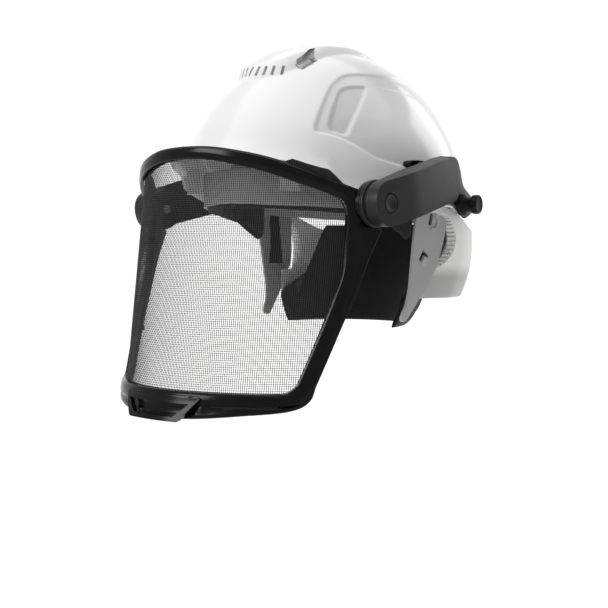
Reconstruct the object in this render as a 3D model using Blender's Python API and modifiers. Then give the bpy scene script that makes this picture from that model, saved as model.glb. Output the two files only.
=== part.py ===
"""Face shield: a woven-mesh visor on two lifting arms, and the vented helmet that carries it.

Metres, +Z up. +X is the wearer's left and -Y the front. Z = 0 is the axis on which the visor
tilts, and X = Y = 0 is the middle of the helmet, where the head goes in from below.
"""
import math

import bmesh
import bpy
from mathutils import Matrix, Vector

MM = 0.001
DEG = math.pi / 180

# Helmet shell: an ellipsoid with a rolled rim, a brim at the front and a vented crest on top
SHELL_HALF_WIDTH = 104 * MM
SHELL_HALF_LENGTH = 129.5 * MM
SHELL_HEIGHT = 128 * MM
SHELL_CENTRE_Y = 5 * MM
SHELL_WALL = 2.5 * MM
SHELL_COLUMNS = 48
SHELL_ROWS = 12
RIM_STATIONS = [
    (0, 36), (20, 34.5), (33, 32), (42, 29), (50, 25.5), (55, 16), (62, 12), (75, 5), (90, 2), (135, -1),
    (180, -3),
]
BRIM_REACH = 20 * MM
RIM_REACH = 3.2 * MM
RIM_ROLL = 7 * MM
CREST_FRONT_Y = -82 * MM
CREST_REAR_Y = 85 * MM
CREST_HALF_WIDTH = 29 * MM
VENT_SLOT_PAIRS = 4
VENT_SLOT_PITCH = 5.9 * MM
VENT_SLOT_SIZE = (2.6 * MM, 22 * MM, 7.6 * MM)
VENT_SLOT_HEIGHT_AT = 103.4 * MM
VENT_SLOT_FRONT = [(0, -78.5), (6, -78), (12, -75.7), (18, -72.6), (24, -68)]
VENT_SLOT_TURN = [(0, 0), (6, 10), (12, 22), (18, 33), (24, 42)]
VENT_SLOT_LEAN = 13 * DEG
SCOOP_OUTLINE = [
    (-58.5, 107.5), (-56, 105.5), (-46, 109.5), (-43, 112), (-36, 123.6), (-43, 121.5), (-57.5, 112),
]
SCOOP_FRONT_Y = -58 * MM
SCOOP_LENGTH = 22 * MM
SCOOP_DEPTH_X = (26 * MM, 18 * MM)
SCOOP_MOUTH_X = 45 * MM
SLIDER_AT = (31 * MM, -50 * MM)
SLIDER_WELL = (8.4 * MM, 22 * MM, 24 * MM)
SLIDER_SIZE = (7.4 * MM, 13 * MM, 3.2 * MM)
SLIDER_TRAVEL = 6 * MM
ADAPTER_LOW = (95 * MM, -16 * MM, 28 * MM)
ADAPTER_HIGH = (106.4 * MM, 4 * MM, 33 * MM)

# Visor: a cylinder about a leaning upright line, seen as heading (degrees from the front) and height
VISOR_RADIUS = 124 * MM
VISOR_AXIS_Y = -32.15 * MM
VISOR_LEAN = 0.125
FRAME_WALL = 3.6 * MM
MESH_DEPTH = 4.5 * MM
MESH_WALL = 0.6 * MM
RETAINER_DEPTH = 5.9 * MM
RETAINER_WALL = 1.5 * MM
FRAME_COLUMNS = 72
WINDOW_KEYS = [
    (0, 33), (10.5, 32), (21, 28.5), (32, 23), (45, 14), (54, 8), (59.5, 3), (62, -6), (62.5, -20),
    (62.5, -48), (60, -68), (57.4, -85), (53.4, -109), (50.7, -124), (49.2, -129.5), (45, -133.2),
    (30, -133.5), (15, -133.5), (0, -133.5),
]
RIM_TOP_KEYS = [(0, 42.3), (12, 41.4), (24, 37.6), (35, 32.3), (45, 25.2), (57, 16), (67, 9)]
RIM_KEYS = RIM_TOP_KEYS + [
    (75, 3), (76, -15), (71.5, -40), (67.7, -66), (64, -85), (60, -108), (56.7, -127), (54.6, -139),
    (48.3, -145.5), (32, -149), (16, -152.3), (0, -154),
]
MESH_BOTTOM = -140
MESH_SIDES = [
    (-140, 51), (-124, 53), (-109, 55.5), (-85, 59.8), (-68, 62.3), (-48, 64.8), (-20, 64.8), (10, 63.5),
]
MESH_TOP = [(0, 37), (21, 33), (32, 27), (45, 18.5), (54, 13), (66, 9)]
SEAL_HALF_ANGLE = 61
SEAL_DEPTH = 5.6 * MM
SEAL_OVERLAP = 2.2
RIVETS = [(65.2, -30), (57.3, -97), (30, -138)]
SEAL_RISE = [(0, 0), (39, 0), (42, 4.2), (47, 4.6), (51, 5.4), (55, 6.6), (57.5, 4.2), (61, 0)]
GRIP_TOP_HALF = 37 * MM
GRIP_BOTTOM_HALF = 23 * MM
GRIP_TOP_Z = -139 * MM
GRIP_BOTTOM_Z = -152.5 * MM
GRIP_BAR = 2.2 * MM
GRIP_STAND_OFF = 7.5 * MM
RIVET_PROFILE = [(0, -2.4), (1.1, -2.4), (1.1, -8.2), (2.2, -8.2), (1.9, -9), (0, -9.2)]
RIVET_HOLE = [(0, -2), (1.5, -2), (1.5, -10), (0, -10)]

# Hinges between the visor and the arms, on the line Y = VISOR_PIVOT_Y, Z = 0
VISOR_PIVOT_Y = -70 * MM
HUB_PLATE_X = (112.2 * MM, 115.7 * MM)
HUB_PLATE_RADIUS = 16.5 * MM
DISC_X = (116 * MM, 119.4 * MM)
DISC_RADIUS = 17.2 * MM
SPIGOT_RADIUS = 5.6 * MM
SPIGOT_END_X = 122.8 * MM
HUB_SCREW_RADIUS = 2.4 * MM
HUB_THREAD_END_X = 121 * MM
BORE_GAP = 0.4 * MM
OUTSIDE_X = 150 * MM
INSIDE_X = 100 * MM

# Arms: a bar that rises to the rear, flat in front and bent inwards behind the bend
ARM_SLOPE = 13 * DEG
ARM_HALF_HEIGHT = 16.4 * MM
ARM_END_FROM_PIVOT = 98 * MM
ARM_PIVOT_FROM_PIVOT = 80 * MM
ARM_BEND_FROM_PIVOT = 29 * MM
ARM_OUTER_X = 132 * MM
ARM_INNER_X = 119.8 * MM
ARM_OUTER_TAPER = 0.17
ARM_INNER_TAPER = 0.142
ARM_PLATE_SHARE = 0.16
ARM_TOP_DRAFT = 3.3 * MM
BUTTON_RADIUS = 6.9 * MM
BUTTON_X = (126.8 * MM, 131.6 * MM)
BUTTON_BORE_X = 124.6 * MM
SPRING_RADIUS = 4.4 * MM
SPRING_WIRE = 0.45 * MM
SPRING_TURNS = 2.5
SPRING_POINTS = 22
ARM_PIVOT_Y = VISOR_PIVOT_Y + ARM_PIVOT_FROM_PIVOT * math.cos(ARM_SLOPE)
ARM_PIVOT_Z = ARM_PIVOT_FROM_PIVOT * math.sin(ARM_SLOPE)
ARM_PIN_RADIUS = 3.6 * MM

# Carrier band round the back of the helmet, and the knobs that clamp it
CARRIER_HALF_WIDTH = 109.8 * MM
CARRIER_HALF_LENGTH = 139 * MM
CARRIER_SQUARENESS = 2.2
CARRIER_WALL = 3 * MM
CARRIER_TOP = [
    (-8, 30), (-2, 33), (8, 36.5), (18, 38.5), (38, 39), (44, 37), (49, 29), (52, 20), (60, 14.5), (76, 9),
    (144, 9),
]
CARRIER_BOTTOM = [(-8, 14), (-4, 8), (28, 8), (36, 3), (50, -5), (60, -9), (70, -6), (80, -3), (144, -3)]
KNOB_Y = 46.7 * MM
KNOB_Z = 2 * MM
KNOB_TURN = 12 * DEG
KNOB_PROFILE = [
    (0, 17), (6.6, 17), (7.6, 16), (7.6, 11.6), (5.6, 10.6), (5.6, 7), (8.4, 5), (8.8, 0.6), (2.7, 0.6),
    (2.7, 12.6), (0, 12.6),
]
STUD_PROFILE = [(0, 12), (2.3, 12), (2.3, -3.4), (3.5, -3.4), (3.5, -4), (0, -4)]
STUD_HOLE = [(0, 4), (2.7, 4), (2.7, -6), (0, -6)]
ARM_PIN_X = (105.1, 106.3, 116.4)
ARM_PIN_HEAD = 6 * MM

# Suspension inside the helmet
BAND_HALF_WIDTH = 86 * MM
BAND_HALF_LENGTH = 108 * MM
BAND_TOP = [(0, 28), (60, 24), (100, 18), (180, 12)]
BAND_BOTTOM = [(0, 2), (60, -2), (100, -4), (180, -12)]
SWEAT_TOP = [(0, 26), (60, 22), (97, 14)]
SWEAT_BOTTOM = [(0, 0), (60, -6), (78, -11), (93, -26), (97, -20)]
SWEAT_GAP = 2.8 * MM
CLIP_PLACES = [("front_left", 35), ("front_right", -35), ("rear_left", 140), ("rear_right", -140)]
CLIP_HALF_ANGLE = 4
CLIP_HALF_WIDTH = 98 * MM
CLIP_HALF_LENGTH = 122 * MM
CLIP_WALL = 10 * MM
CLIP_TOP = [(0, 30), (180, 22)]
CLIP_BOTTOM = [(0, 12), (180, 4)]
STRAP_OUTLINE = [
    (15, 8), (15, -22), (16, -43), (17, -65), (15, -78), (10.5, -88), (14, -90.5), (18.6, -88.3), (27, -78),
    (36, -66.6), (46, -52), (50.4, -43.5), (55.3, -19.4), (57, 0), (56, 8),
]
STRAP_SLOT = [(31.4, -13.9), (35.4, -13.9), (36.2, -5), (32.4, -5)]
STRAP_NOTCH = [(24.4, -41), (28.7, -33.7), (35.9, -38), (34.9, -40), (30.6, -37.8), (26.9, -43)]
STRAP_WALL = 2.5 * MM
STRAP_TOP_X = 89.5 * MM
STRAP_LEAN = 0.14
CROWN_HALF_LENGTH = 101 * MM
CROWN_HALF_WIDTH = 79 * MM
CROWN_HEIGHT = 95 * MM
CROWN_STRAP_WIDTH = 20 * MM
CROWN_STRAP_GAP = 3 * MM
CRADLE_HALF_WIDTH = 94 * MM
CRADLE_HALF_LENGTH = 131 * MM
CRADLE_SQUARENESS = 3
CRADLE_WALL = 2.5 * MM
CRADLE_TOP = [(28, 3), (40, 3), (56, -2), (70, -6), (80, -10.5), (88, -14), (97, -17), (110, -18), (136, -16)]
CRADLE_BOTTOM_Z = -73 * MM
CRADLE_TURN_IN = 21 * MM
CRADLE_TUCK = 7 * MM
CRADLE_TUCK_FROM_Z = -30 * MM
CRADLE_TUCK_HEIGHT = 39 * MM
CRADLE_OPENING_AT = (40 * MM, -28 * MM)
CRADLE_OPENING_RADIUS = 23.5 * MM
CRADLE_OPENING_FRONT_Y = 10 * MM
SHAFT_HOLE = [(0, 150), (3.6, 150), (3.6, 126), (0, 126)]
PINION_WELL = [(0, 140), (8, 140), (8, 126.4), (0, 126.4)]
PAD_WIDTHS = [(-96, 60), (-82, 68), (-70, 72), (-41, 84), (-26, 89), (-12, 87)]
PAD_LENGTH_RATIO = 1.25
PAD_CENTRE_Y = 10 * MM
PAD_WALL = 5 * MM
RATCHET_Z = -32 * MM
RATCHET_PIVOT_Y = 143 * MM
RATCHET_KNOB_PROFILE = [
    (0, 149.5), (12, 149), (17, 148), (19, 145.5), (19, 138), (17, 136.8), (3, 136.8), (3, 127), (0, 127),
]
RATCHET_LOW = (-28, 123.6, -45)
RATCHET_HIGH = (28, 131, -19)
PINION_TEETH = 12
PINION_RADII = (6.9 * MM, 5.2 * MM)
PINION_BORE = 3.4 * MM
PINION_Y = 129.2 * MM
PINION_HALF_WIDTH = 2 * MM

WHITE_SHELL = ((0.86, 0.87, 0.87), 0.22, 0.0)
WHITE_PLASTIC = ((0.80, 0.80, 0.79), 0.45, 0.0)
GREY_PLASTIC = ((0.45, 0.45, 0.45), 0.5, 0.0)
BLACK_GLOSS = ((0.012, 0.012, 0.013), 0.25, 0.0)
BLACK_MATT = ((0.02, 0.02, 0.02), 0.6, 0.0)
CHARCOAL = ((0.07, 0.07, 0.072), 0.42, 0.0)
DARK_FOAM = ((0.04, 0.04, 0.04), 0.9, 0.0)
BLACK_WIRE = ((0.02, 0.02, 0.02), 0.45, 0.6)
STEEL = ((0.6, 0.6, 0.6), 0.3, 1.0)
WEBBING = ((0.5, 0.5, 0.5), 0.85, 0.0)


def smooth(low, high, value):
    share = min(max((value - low) / (high - low), 0.0), 1.0)
    return share * share * (3 - 2 * share)


def lerp(first, second, share):
    return first + (second - first) * share


def along(stations, value):
    """Height at a position, on straight lines between (position, height) stations."""
    if value <= stations[0][0]:
        return stations[0][1]
    for (start, low), (end, high) in zip(stations, stations[1:]):
        if value <= end:
            return lerp(low, high, (value - start) / (end - start))
    return stations[-1][1]


def spline(keys, share):
    """Point at a share of the way through the keys, on a Catmull-Rom curve."""
    place = share * (len(keys) - 1)
    step = min(int(place), len(keys) - 2)
    t = place - step
    before = Vector(keys[max(step - 1, 0)])
    start = Vector(keys[step])
    end = Vector(keys[step + 1])
    after = Vector(keys[min(step + 2, len(keys) - 1)])
    return 0.5 * (2 * start + (end - before) * t + (2 * before - 5 * start + 4 * end - after) * t * t
                  + (3 * start - before - 3 * end + after) * t ** 3)


def clear_scene():
    for thing in list(bpy.data.objects):
        bpy.data.objects.remove(thing, do_unlink=True)
    parts = bpy.data.collections.new("face_shield")
    cutters = bpy.data.collections.new("cutters")
    for collection in (parts, cutters):
        bpy.context.scene.collection.children.link(collection)
    return parts, cutters


PARTS, CUTTERS = clear_scene()


def add_part(name, mesh, finish, parent=None):
    colour, roughness, metallic = finish
    material = bpy.data.materials.new(name + "_material")
    material.use_nodes = True
    shader = material.node_tree.nodes["Principled BSDF"]
    shader.inputs["Base Color"].default_value = (*colour, 1)
    shader.inputs["Roughness"].default_value = roughness
    shader.inputs["Metallic"].default_value = metallic
    mesh.materials.clear()
    mesh.materials.append(material)
    part = bpy.data.objects.new(name, mesh)
    PARTS.objects.link(part)
    if parent is not None:
        hang(part, parent)
    return part


def add_cutter(name, mesh):
    cutter = bpy.data.objects.new(name, mesh)
    CUTTERS.objects.link(cutter)
    cutter.hide_render = True
    cutter.display_type = "WIRE"
    return cutter


def add_pivot(name, location, parent=None):
    """Empty on a joint's axis."""
    empty = bpy.data.objects.new(name, None)
    empty.empty_display_size = 10 * MM
    empty.location = location
    PARTS.objects.link(empty)
    if parent is not None:
        hang(empty, parent)
    return empty


def hang(child, parent):
    """Parent without moving the child."""
    bpy.context.view_layer.update()
    child.parent = parent
    child.matrix_parent_inverse = parent.matrix_world.inverted()


def mesh_from(bm, name):
    mesh = bpy.data.meshes.new(name)
    bm.to_mesh(mesh)
    bm.free()
    mesh.shade_smooth()
    mesh.set_sharp_from_angle(angle=35 * DEG)
    return mesh


def close_outwards(bm):
    """Make a closed mesh's faces agree and point out."""
    bmesh.ops.recalc_face_normals(bm, faces=bm.faces)
    if bm.calc_volume(signed=True) < 0:
        bmesh.ops.reverse_faces(bm, faces=bm.faces)


def sheet_mesh(name, columns, rows, place, closed=False):
    """Open sheet: a grid whose every point (across, up), each 0 to 1, is moved to place()."""
    bm = bmesh.new()
    bmesh.ops.create_grid(bm, x_segments=columns, y_segments=rows, size=0.5)
    for vert in bm.verts:
        vert.co = place(vert.co.x + 0.5, vert.co.y + 0.5)
    if closed:
        bmesh.ops.remove_doubles(bm, verts=bm.verts, dist=0.01 * MM)
    bm.normal_update()
    return mesh_from(bm, name)


def face_away(mesh, centre):
    """Turn the sheet's faces away from an upright line through centre."""
    bm = bmesh.new()
    bm.from_mesh(mesh)
    bm.normal_update()
    total = 0.0
    for face in bm.faces:
        out = face.calc_center_median() - centre
        total += face.calc_area() * face.normal.dot(out)
    if total < 0:
        bmesh.ops.reverse_faces(bm, faces=bm.faces)
    bm.to_mesh(mesh)
    bm.free()


def add_wall(part, thickness):
    """Thicken a sheet inwards, away from the side its faces point to."""
    wall = part.modifiers.new("wall", "SOLIDIFY")
    wall.thickness = thickness
    wall.offset = -1
    return wall


def add_bevel(part, width, segments=2):
    bevel = part.modifiers.new("edges", "BEVEL")
    bevel.width = width
    bevel.segments = segments
    bevel.limit_method = "ANGLE"
    bevel.angle_limit = 40 * DEG
    bevel.use_clamp_overlap = True


def cut(part, cutter, operation="DIFFERENCE"):
    boolean = part.modifiers.new(cutter.name, "BOOLEAN")
    boolean.operation = operation
    boolean.object = cutter
    boolean.solver = "EXACT"


def add_cutters(name, mesh, places):
    """One cutter that holds a copy of the mesh at each of the places (4 by 4 matrices)."""
    bm = bmesh.new()
    for place in places:
        copy = mesh.copy()
        copy.transform(place)
        bm.from_mesh(copy)
        bpy.data.meshes.remove(copy)
    return add_cutter(name, mesh_from(bm, name))


def box_mesh(name, low, high):
    bm = bmesh.new()
    bmesh.ops.create_cube(bm, size=1)
    centre = (Vector(low) + Vector(high)) / 2
    size = Vector(high) - Vector(low)
    for vert in bm.verts:
        vert.co = Vector((vert.co.x * size.x, vert.co.y * size.y, vert.co.z * size.z)) + centre
    return mesh_from(bm, name)


def turned_mesh(name, profile, steps=24):
    """Solid turned about Z from (radius, height) points that run down its outer side."""
    mesh = bpy.data.meshes.new(name + "_profile")
    verts = [(radius, 0, height) for radius, height in profile]
    edges = [(i, i + 1) for i in range(len(profile) - 1)]
    if profile[0][0] > 0:
        edges.append((len(profile) - 1, 0))
    mesh.from_pydata(verts, edges, [])
    work = bpy.data.objects.new(name + "_profile", mesh)
    bpy.context.scene.collection.objects.link(work)
    screw = work.modifiers.new("turn", "SCREW")
    screw.steps = steps
    screw.render_steps = steps
    screw.use_merge_vertices = True
    screw.merge_threshold = 0.005 * MM
    bpy.context.view_layer.update()
    turned = bpy.data.meshes.new_from_object(work.evaluated_get(bpy.context.evaluated_depsgraph_get()))
    bpy.data.objects.remove(work)
    turned.name = name
    turned.shade_smooth()
    turned.set_sharp_from_angle(angle=35 * DEG)
    return turned


def in_metres(profile):
    return [(across * MM, up * MM) for across, up in profile]


def curve_mesh(curve, weld=0.01 * MM):
    """The curve's shape, welded, as an open edit. The curve itself is removed."""
    work = bpy.data.objects.new(curve.name, curve)
    bpy.context.scene.collection.objects.link(work)
    bpy.context.view_layer.update()
    mesh = bpy.data.meshes.new_from_object(work.evaluated_get(bpy.context.evaluated_depsgraph_get()))
    bpy.data.objects.remove(work)
    bpy.data.curves.remove(curve)
    bm = bmesh.new()
    bm.from_mesh(mesh)
    bpy.data.meshes.remove(mesh)
    bmesh.ops.remove_doubles(bm, verts=bm.verts, dist=weld)
    return bm


def wire_mesh(name, points, radius, resolution, weld=0.01 * MM):
    """Round wire through the points, with closed ends."""
    curve = bpy.data.curves.new(name + "_path", "CURVE")
    curve.dimensions = "3D"
    curve.bevel_depth = radius
    curve.bevel_resolution = resolution
    curve.use_fill_caps = True
    path = curve.splines.new("POLY")
    path.points.add(len(points) - 1)
    for point, place in zip(path.points, points):
        point.co = (*place, 1)
    bm = curve_mesh(curve, weld)
    close_outwards(bm)
    return mesh_from(bm, name)


def outwards(side, y, z):
    """Frame whose Z axis lies along +X on the left side and -X on the right."""
    return Matrix.Translation((0, y, z)) @ Matrix.Rotation(side * math.pi / 2, 4, "Y")


def point_outwards(thing, side, y, z):
    thing.location = (0, y, z)
    thing.rotation_euler = (0, side * math.pi / 2, 0)


def outline_plate(name, outline, holes=()):
    """Flat plate of the outline, from -1 to +1 thick, with its holes, as an open edit."""
    curve = bpy.data.curves.new(name + "_outline", "CURVE")
    curve.dimensions = "2D"
    curve.fill_mode = "BOTH"
    curve.extrude = 1.0
    for loop in (outline, *holes):
        path = curve.splines.new("POLY")
        path.points.add(len(loop) - 1)
        for point, (x, y) in zip(path.points, loop):
            point.co = (x, y, 0, 1)
        path.use_cyclic_u = True
    return curve_mesh(curve)


def shaped_plate(name, outline, place, holes=(), folds=()):
    """Plate of an outline, folded where X crosses each of folds, with each point moved to place()."""
    bm = outline_plate(name, outline, holes)
    for fold in folds:
        geometry = bm.verts[:] + bm.edges[:] + bm.faces[:]
        bmesh.ops.bisect_plane(bm, geom=geometry, dist=1e-7, plane_co=(fold, 0, 0), plane_no=(1, 0, 0))
    for vert in bm.verts:
        vert.co = place(*vert.co)
    close_outwards(bm)
    return mesh_from(bm, name)


def arc(centre_x, centre_y, radius, start, end, steps):
    """Points on an arc between two angles in degrees."""
    points = []
    for i in range(steps + 1):
        angle = lerp(start, end, i / steps) * DEG
        points.append((centre_x + radius * math.cos(angle), centre_y + radius * math.sin(angle)))
    return points


def side_name(side):
    return "left" if side > 0 else "right"


# ---------------------------------------------------------------- helmet shell


def crest_height(x, y):
    lengthways = smooth(CREST_FRONT_Y, CREST_FRONT_Y + 22 * MM, y)
    lengthways *= 1 - smooth(25 * MM, CREST_REAR_Y, y)
    height = lerp(8.5, 4.5, smooth(-62 * MM, 0, y)) * MM
    half = CREST_HALF_WIDTH * lerp(0.55, 1, smooth(CREST_FRONT_Y, CREST_FRONT_Y + 30 * MM, y))
    across = 1 - smooth(half - 5 * MM, half + 5 * MM, abs(x))
    return height * lengthways * across


def shell_point(heading, rise):
    """Outer surface at a heading from the front (radians), from the rim (0) to the top (1)."""
    rim = along(RIM_STATIONS, abs(heading) / DEG) * MM
    start = math.asin(rim / SHELL_HEIGHT)
    lift = lerp(start, math.pi / 2, rise)
    z = SHELL_HEIGHT * math.sin(lift)
    reach = lerp(RIM_REACH, BRIM_REACH, (1 - smooth(0, 62 * DEG, abs(heading))) ** 1.3)
    reach *= math.exp((rim - z) / RIM_ROLL)
    x = math.sin(heading) * (SHELL_HALF_WIDTH * math.cos(lift) + reach)
    y = SHELL_CENTRE_Y - math.cos(heading) * (SHELL_HALF_LENGTH * math.cos(lift) + reach)
    return Vector((x, y, z + crest_height(x, y)))


def shell_top(x, y):
    """Height of the outer surface above a point in plan, away from the rim."""
    inside = 1 - (x / SHELL_HALF_WIDTH) ** 2 - ((y - SHELL_CENTRE_Y) / SHELL_HALF_LENGTH) ** 2
    return SHELL_HEIGHT * math.sqrt(inside) + crest_height(x, y)


def slot_place(number):
    """Middle of a slot in the crest's front flank, facing out of it and leaning outwards at the top."""
    x = number * VENT_SLOT_PITCH
    y = along(VENT_SLOT_FRONT, abs(x) / MM) * MM
    turn = math.copysign(along(VENT_SLOT_TURN, abs(x) / MM), number) * DEG
    place = Matrix.Translation((x, y, VENT_SLOT_HEIGHT_AT)) @ Matrix.Rotation(turn, 4, "Z")
    return place @ Matrix.Rotation(math.copysign(VENT_SLOT_LEAN, number), 4, "Y")


def scoop_mesh(side):
    """Wedge to cut out of the crest's flank, shallow in front and ending at an upright wall behind."""
    front, rear = SCOOP_DEPTH_X
    def place(y, z, layer):
        inner = lerp(front, rear, (y - SCOOP_FRONT_Y) / SCOOP_LENGTH)
        return Vector((side * (inner if layer < 0 else SCOOP_MOUTH_X), y, z))
    return shaped_plate("scoop", in_metres(SCOOP_OUTLINE), place)


def slider_frame(side):
    """Place and axes of the vent slider beside the crest: across, along the slope, and out."""
    x, y = SLIDER_AT
    place = Vector((side * x, y, shell_top(x, y)))
    step = 4 * MM
    slope_y = (shell_top(x, y + step) - shell_top(x, y - step)) / (2 * step)
    out = Vector((side * x / SHELL_HALF_WIDTH ** 2, (y - SHELL_CENTRE_Y) / SHELL_HALF_LENGTH ** 2,
                  place.z / SHELL_HEIGHT ** 2)).normalized()
    uphill = Vector((0, 1, slope_y)).normalized()
    uphill = (uphill - out * uphill.dot(out)).normalized()
    across = uphill.cross(out)
    frame = Matrix((across, uphill, out)).transposed().to_4x4()
    return Matrix.Translation(place) @ frame


def make_helmet_shell():
    bm = bmesh.new()
    bmesh.ops.create_uvsphere(bm, u_segments=SHELL_COLUMNS, v_segments=2 * SHELL_ROWS, radius=1)
    below = [vert for vert in bm.verts if vert.co.z < -0.01]
    bmesh.ops.delete(bm, geom=below, context="VERTS")
    for vert in bm.verts:
        rise = math.asin(min(max(vert.co.z, 0), 1)) / (math.pi / 2)
        vert.co = shell_point(math.atan2(vert.co.x, -vert.co.y), rise)
    shell = add_part("helmet_shell", mesh_from(bm, "helmet_shell"), WHITE_SHELL)
    add_wall(shell, SHELL_WALL)
    half = Vector(VENT_SLOT_SIZE) / 2
    slots = [slot_place(number) for number in range(-VENT_SLOT_PAIRS, VENT_SLOT_PAIRS + 1)]
    cut(shell, add_cutters("vent_slot_cutter", box_mesh("vent_slot", -half, half), slots))
    half = Vector(SLIDER_WELL) / 2
    wells = [slider_frame(side) for side in (1, -1)]
    cut(shell, add_cutters("slider_well_cutter", box_mesh("slider_well", -half, half), wells))
    for side in (1, -1):
        cut(shell, add_cutter(side_name(side) + "_scoop_cutter", scoop_mesh(side)))
    half = (Vector(ADAPTER_HIGH) - Vector(ADAPTER_LOW)) / 2 + Vector((8, 0.5, 0.5)) * MM
    middle = (Vector(ADAPTER_HIGH) + Vector(ADAPTER_LOW)) / 2
    entries = [Matrix.Translation((side * middle.x, middle.y, middle.z)) for side in (1, -1)]
    cut(shell, add_cutters("accessory_slot_cutter", box_mesh("accessory_slot", -half, half), entries))


def make_vent_slider(side):
    """Ribbed slider that closes the vent opening beside the crest."""
    half = Vector(SLIDER_SIZE) / 2
    mesh = box_mesh(side_name(side) + "_vent_slider", -half, half)
    slider = add_part(mesh.name, mesh, GREY_PLASTIC)
    at_rest = Matrix.Translation((0, -SLIDER_TRAVEL / 2, -half.z))
    slider.matrix_world = slider_frame(side) @ at_rest
    add_bevel(slider, 0.6 * MM, 1)


def make_slot_adapter(side):
    """Block that plugs into the helmet's accessory slot and holds the carrier off the shell."""
    near, far = sorted((side * ADAPTER_LOW[0], side * ADAPTER_HIGH[0]))
    mesh = box_mesh("slot_adapter", (near, *ADAPTER_LOW[1:]), (far, *ADAPTER_HIGH[1:]))
    adapter = add_part(side_name(side) + "_slot_adapter", mesh, CHARCOAL)
    add_bevel(adapter, 0.8 * MM, 1)


# ---------------------------------------------------------------- visor


def visor_point(heading, height, depth=0.0):
    """Point on the visor: heading in degrees from the front, height and depth in metres."""
    radius = VISOR_RADIUS - depth
    x = radius * math.sin(heading * DEG)
    y = VISOR_AXIS_Y + VISOR_LEAN * height - radius * math.cos(heading * DEG)
    return Vector((x, y, height))


def loop_point(keys, share):
    """(heading, height) a share of the way round an outline given for its left half."""
    half = 2 * share if share <= 0.5 else 2 * (1 - share)
    heading, height = spline(keys, half)
    return Vector((heading if share <= 0.5 else -heading, height * MM))


def ring_place(inner_share, outer_share, depth):
    """Surface between two shares of the way from the window's outline to the frame's."""
    def place(across, up):
        window = loop_point(WINDOW_KEYS, across)
        rim = loop_point(RIM_KEYS, across)
        heading, height = lerp(window, rim, lerp(inner_share, outer_share, up))
        return visor_point(heading, height, depth)
    return place


def visor_sheet(name, columns, rows, place, wall, finish, parent, closed=False):
    mesh = sheet_mesh(name, columns, rows, place, closed)
    face_away(mesh, Vector((0, VISOR_AXIS_Y, -50 * MM)))
    part = add_part(name, mesh, finish, parent)
    add_wall(part, wall)
    return part


def top_edge(heading):
    """Height of the frame's upper edge at a heading, in mm."""
    return along(RIM_TOP_KEYS, abs(heading))


def mesh_place(across, up):
    side_height = lerp(MESH_BOTTOM, MESH_SIDES[-1][0], up)
    heading = (2 * across - 1) * along(MESH_SIDES, side_height)
    top = along(MESH_TOP, abs(heading))
    return visor_point(heading, lerp(MESH_BOTTOM, top, up) * MM, MESH_DEPTH)


def seal_place(across, up):
    heading = (2 * across - 1) * SEAL_HALF_ANGLE
    top = top_edge(heading) + along(SEAL_RISE, abs(heading))
    low = top_edge(heading) - SEAL_OVERLAP
    return visor_point(heading, lerp(low, top, up) * MM, SEAL_DEPTH)


def rivet_axis(heading, height):
    """Frame whose Z axis points out of the visor at the rivet."""
    place = visor_point(heading, height * MM)
    out = Vector((math.sin(heading * DEG), -math.cos(heading * DEG), 0))
    return Matrix.Translation(place) @ out.to_track_quat("Z", "Y").to_matrix().to_4x4()


def make_grip():
    """Bar loop that stands out of the lower band."""
    top_heading = math.asin(GRIP_TOP_HALF / VISOR_RADIUS) / DEG
    low_heading = math.asin(GRIP_BOTTOM_HALF / VISOR_RADIUS) / DEG
    root_depth = FRAME_WALL / 2
    points = [visor_point(-top_heading, GRIP_TOP_Z, root_depth)]
    for share in (-1, -0.4, 0.4, 1):
        points.append(visor_point(share * low_heading, GRIP_BOTTOM_Z, -GRIP_STAND_OFF))
    points.append(visor_point(top_heading, GRIP_TOP_Z, root_depth))
    return add_cutter("grip_bar", wire_mesh("grip_bar", points, GRIP_BAR, 2))


def make_rivets(layers, parent):
    """Rivets that hold the mesh between the frame and the retainer, and their holes."""
    axes = [rivet_axis(side * heading, height) for side in (1, -1) for heading, height in RIVETS]
    holes = add_cutters("rivet_cutter", turned_mesh("rivet_hole", in_metres(RIVET_HOLE), 8), axes)
    for layer in layers:
        cut(layer, holes)
    for number, axis in enumerate(axes, 1):
        name = "mesh_rivet_%d" % number
        rivet = add_part(name, turned_mesh(name, in_metres(RIVET_PROFILE), 8), BLACK_MATT)
        rivet.matrix_world = axis
        hang(rivet, parent)


def make_visor(parent):
    frame = visor_sheet("visor_frame", FRAME_COLUMNS, 1, ring_place(0, 1, 0), FRAME_WALL, BLACK_GLOSS,
                        parent, closed=True)
    cut(frame, make_grip(), "UNION")
    join_hub_plates(frame)
    mesh = visor_sheet("visor_mesh", 26, 3, mesh_place, MESH_WALL, BLACK_WIRE, parent)
    retainer = visor_sheet("mesh_retainer", 56, 1, ring_place(0, 0.5, RETAINER_DEPTH), RETAINER_WALL,
                           BLACK_MATT, parent, closed=True)
    visor_sheet("brow_seal", 36, 1, seal_place, RETAINER_WALL, DARK_FOAM, parent)
    make_rivets((frame, mesh, retainer), parent)
    cut_hub_room(frame)
    for side in (1, -1):
        make_hub(side, parent)


def join_hub_plates(frame):
    """Flat round plates on the visor's ears, square to the hinges' axis."""
    low, high = HUB_PLATE_X
    profile = [(0, high), (HUB_PLATE_RADIUS, high), (HUB_PLATE_RADIUS, low), (0, low)]
    plates = [outwards(side, VISOR_PIVOT_Y, 0) for side in (1, -1)]
    cut(frame, add_cutters("hub_plates", turned_mesh("hub_plate", profile, 24), plates), "UNION")


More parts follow.
